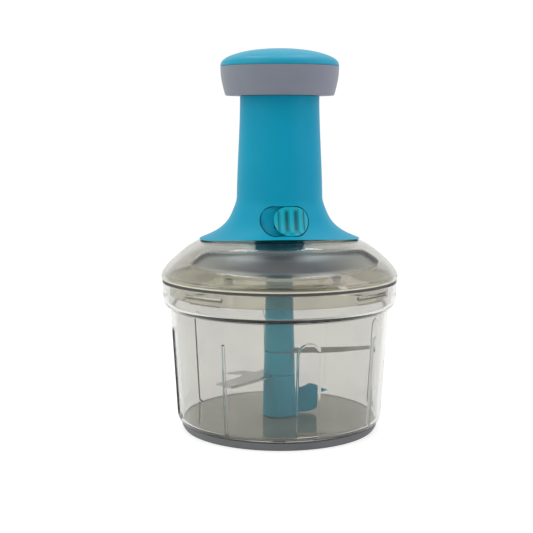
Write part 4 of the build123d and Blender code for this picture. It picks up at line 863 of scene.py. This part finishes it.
sealSizes = {"foot": 85.4, "top": 86.7, "outer": 67, "inner": 62.4, "groove": 0.25,
             "channel": (64.6, 64.2, 63.8), "spacing": 1.5}
padSizes = {
    "footRadius": 55.4, "ringInner": 45.9, "ringStart": 44.5, "recess": 1.0, "radius": 56.8, "top": 4.5,
    "lip": 1.5, "seat": 3.4, "seatMargin": 0.1, "flank": [(55.52, 0.45), (56.35, 2.2), (56.7, 3.7)],
    "grooves": (48.6, 51.0, 53.4), "grooveMouth": 0.5, "grooveFloor": 0.35, "grooveDepth": 0.4, "spacing": 2,
}


def buildSeal():
    size = sealSizes
    foot, top, outer, groove = size["foot"], size["top"], size["outer"], size["groove"]
    channelStart, channelMiddle, channelEnd = size["channel"]
    chain = softened([(size["inner"], foot, 0.3), (outer, foot, 0.35),
                      (outer - groove, (foot + top) / 2, 0.15), (outer, top, 0.35),
                      (channelStart, top, 0.1), (channelMiddle, top - groove, 0.1),
                      (channelEnd, top, 0.1), (size["inner"], top, 0.3)])
    piece = turned("rubberSeal", chain, anglesRound(size["spacing"]))
    finished(piece, "sealBlack", "seal_black", "seal_ring")


def buildPad():
    size = padSizes
    recess, mouth, bottom = size["recess"], size["grooveMouth"], size["grooveFloor"]
    seatRadius, margin = size["radius"] - size["lip"], size["seatMargin"]
    corners = [(0, recess), (size["ringStart"], recess), (size["ringInner"], recess, 0.4),
               (size["ringInner"] + recess, 0, 0.3)]
    for radius in size["grooves"]:
        corners += [(radius - mouth, 0, 0.15), (radius - bottom, size["grooveDepth"], 0.1),
                    (radius + bottom, size["grooveDepth"], 0.1), (radius + mouth, 0, 0.15)]
    chain = softened(corners + [(size["footRadius"], 0, 0.5)])
    flank = flowing(size["flank"], perSpan=3)
    chain += flank + softened([flank[-1][:2], (size["radius"], size["top"], 0.35),
                               (seatRadius, size["top"], 0.2), (seatRadius, size["seat"]),
                               (0, size["seat"])])[1:]
    piece = turned("gripPad", chain, anglesRound(size["spacing"]))
    shown = piece.data.attributes.new("otherTone", "FLOAT", "POINT").data
    for vert in piece.data.vertices:
        # painted light: the seat under the clear bowl is painted pale
        onSeat = vert.co.z > mm(size["seat"] - margin) and vert.co.xy.length < mm(seatRadius + margin)
        shown[vert.index].value = 1 if onSeat else 0
    finished(piece, "padGrey", "pad_grey", "base_pad")


buildSeal()
buildPad()
print("seal and pad made")


# knob: soft grip sleeve and snap-on cap

knobSizes = {
    "foot": 189, "top": 205, "radius": 33.3, "bore": 27.5, "spacing": 2,
    "sleeve": [(30.6, 0.35), (31.35, 3), (32.0, 5.7), (32.7, 9), (33.1, 12.6), (33.25, 15.6)],
    "sleeveFoot": 0.5, "sleeveTop": 0.05,       # how much narrower its two edges are
    "cap": [(0, 10), (6.5, 9.85), (12.5, 9.35), (18, 8.6), (23, 7.5), (27.5, 6.05), (30.6, 4.5),
            (32.4, 2.9), (33.2, 1.2)],
    "capEdge": 33.2, "capFoot": 0.12, "capUnder": 0.06, "capLedge": 31,
    "wall": 2.4, "skirtOuter": 25.4, "skirtInner": 23.6, "skirtFoot": 196,
}


def buildGrip():
    size = knobSizes
    foot, top, bore = size["foot"], size["top"], size["bore"]
    sleeve = [(r, foot + z) for r, z in size["sleeve"]]
    chain = softened([(bore, foot, 0.4), (sleeve[0][0] - size["sleeveFoot"], foot, 0.4), sleeve[0]])[:-1]
    chain += flowing(sleeve, perSpan=4)
    chain += softened([sleeve[-1], (size["radius"] - size["sleeveTop"], top, 0.3), (bore, top, 0.3),
                       (bore, foot)])[1:-1]
    piece = turned("gripSleeve", chain, anglesRound(size["spacing"]))
    finished(piece, "softGrey", "soft_grey", "knob_grip")


def buildCap():
    size = knobSizes
    skirtOuter, skirtInner, skirtFoot = size["skirtOuter"], size["skirtInner"], size["skirtFoot"]
    crown = [(r, size["top"] + z) for r, z in size["cap"]]
    inner = [(r * (1 - size["wall"] / size["radius"]), z - size["wall"]) for r, z in crown[:6]]
    under = size["top"] + size["capUnder"]
    chain = flowing(crown, perSpan=5)[:-1]
    chain += softened([crown[-1], (size["capEdge"], size["top"] + size["capFoot"], 0.3),
                       (size["capLedge"], under), (skirtOuter, under, 0.2), (skirtOuter, skirtFoot, 0.4),
                       (skirtInner, skirtFoot, 0.4), (skirtInner, inner[-1][1] - 1, 0.5), inner[-1]])[:-1]
    chain += flowing(inner[::-1], perSpan=3)
    piece = turned("knobCapShell", chain, anglesRound(size["spacing"]))
    finished(piece, "capTeal", "knob_teal", "knob_cap")


buildGrip()
buildCap()
print("knob made")


# blade stack: moulded rings that close over the blades' edges

stackSizes = {"foot": 6.3, "footRadius": 9.7, "slope": 0.02564, "bore": 5.1, "lip": 0.36, "lipWidth": 1.0,
              "lipFoot": 0.9, "edge": 0.14, "spacing": 5}
stackRings = {      # node, low and high ends, and whether a lip closes over a blade below and above
    "upperSpacerRing": ("upper_spacer", 30.8, 43.2, True, True),
    "collarRing": ("blade_collar", 26.8, 29.8, False, True),
    "lowerSpacerRing": ("lower_spacer", 17.5, 26.8, False, False),
}


def buildStack():
    size = stackSizes

    def radiusAt(z):
        return size["footRadius"] - size["slope"] * (z - size["foot"])

    for name, (node, low, high, lipBelow, lipAbove) in stackRings.items():
        corners = [(size["bore"], high), (size["bore"], low)]
        bottom = low - size["lip"] if lipBelow else low
        top = high + size["lip"] if lipAbove else high
        if lipBelow:
            corners += [(radiusAt(low) - size["lipWidth"], low),
                        (radiusAt(low) - size["lipFoot"], bottom, 0.1)]
        corners += [(radiusAt(bottom), bottom, size["edge"]), (radiusAt(top), top, size["edge"])]
        if lipAbove:
            corners += [(radiusAt(high) - size["lipFoot"], top, 0.1),
                        (radiusAt(high) - size["lipWidth"], high)]
        piece = turned(name, softened(corners), anglesRound(size["spacing"]))
        finished(piece, "postTeal", "post_teal", node)


buildStack()
print("stack rings made")


# screws that hold the clutch housing, with crossed slots

screwSizes = {
    "head": [(0.01, -1.6), (0.3, -1.6), (0.5, -1.6), (0.8, -1.58), (1.1, -1.55), (1.4, -1.5),
             (1.7, -1.42), (2.0, -1.3)],
    "headEdge": [(2.25, -1.12), (2.5, -0.8), (2.64, -0.4), (2.7, 0)],
    "shankRadius": 1.3, "tipRadius": 0.9, "tipLength": 0.4, "seat": 86.8, "tip": 90.55, "sides": 48,
    "slotWidth": 0.36, "slotReach": 1.35, "slotDepth": 0.85, "slotSoft": 0.16, "circle": 34.8, "copies": 3,
}


def buildScrews():
    size = screwSizes
    head, shank, length = size["head"], size["shankRadius"], size["tip"] - size["seat"]
    rings = head + size["headEdge"] + [(shank, 0), (shank, length - size["tipLength"]),
                                       (size["tipRadius"], length), (head[0][0], length)]
    form = bmesh.new()
    rows = []
    for k in range(size["sides"]):
        angle = 2 * pi * k / size["sides"]
        row = []
        for place, (r, z) in enumerate(rings):
            x, y = r * cos(angle), r * sin(angle)
            if place < len(head):
                # the head's flat is pressed in where the crossed slots run
                small, large = sorted((abs(x), abs(y)))
                wall = min(size["slotWidth"] - small, size["slotReach"] - large)
                z += size["slotDepth"] * max(0, min(1, wall / size["slotSoft"] + 0.5))
            row.append(form.verts.new((mm(x), mm(y), mm(z))))
        rows.append(row)
    for k, row in enumerate(rows):
        after = rows[(k + 1) % len(rows)]
        for j in range(len(rings) - 1):
            form.faces.new((row[j], row[j + 1], after[j + 1], after[j])).smooth = True
    form.faces.new([row[0] for row in rows])
    form.faces.new([row[-1] for row in rows])
    bmesh.ops.recalc_face_normals(form, faces=form.faces)
    piece = pieceFrom(form, "housingScrewHeads")
    addTree(piece, ringOfCopies, {
        "Copies": size["copies"], "Radius": mm(size["circle"]), "Height": mm(size["seat"]),
        "First Turn": pi / 2, "Step Turn": 2 * pi / size["copies"], "Finish": finishes["springSteel"]})
    finished(settled(piece), "springSteel", "spring_steel", "housing_screws")


buildScrews()
print("screws set out")


# painted shade: a dark bead round the lock window, standing for the shadow line at its edge

shadeLineSizes = {"halfLength": 13.3, "halfHeight": 7.65, "height": 120.9, "radius": 0.26, "sunk": 0.1,
             "points": 96, "beadSides": 8, "clear": (1.02, 1.03), "rayStart": -100}


def buildWindowShadeLine():
    size = shadeLineSizes
    shell = cadNodes["neck_shell"].data
    surface = BVHTree.FromPolygons([vert.co for vert in shell.vertices],
                                   [face.vertices for face in shell.polygons])
    run = size["halfLength"] - size["halfHeight"]
    form = bmesh.new()
    verts = []
    for k in range(size["points"]):
        angle = 2 * pi * k / size["points"]
        x = size["halfHeight"] * cos(angle) + (run if cos(angle) > 0 else -run)
        up = size["halfHeight"] * sin(angle)
        # just outside the window's edge, where the neck's surface still stands
        outX, outZ = x * size["clear"][0], size["height"] + up * size["clear"][1]
        hit = surface.ray_cast(Vector((mm(outX), mm(size["rayStart"]), mm(outZ))), Vector((0, 1, 0)))[0]
        verts.append(form.verts.new((mm(x), hit.y + mm(size["sunk"]), mm(size["height"] + up))))
    for k, vert in enumerate(verts):
        form.edges.new((vert, verts[(k + 1) % len(verts)]))
    piece = pieceFrom(form, "windowShadeLine")
    addTree(piece, beadAlongEdges, {"Radius": mm(size["radius"]), "Sides": size["beadSides"],
                                    "Finish": finishes["shadeLineTeal"]})
    settled(piece)
    for face in piece.data.polygons:
        face.use_smooth = True
    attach(piece, bodyOf["neck_shell"])


buildWindowShadeLine()
print("window seam laid")
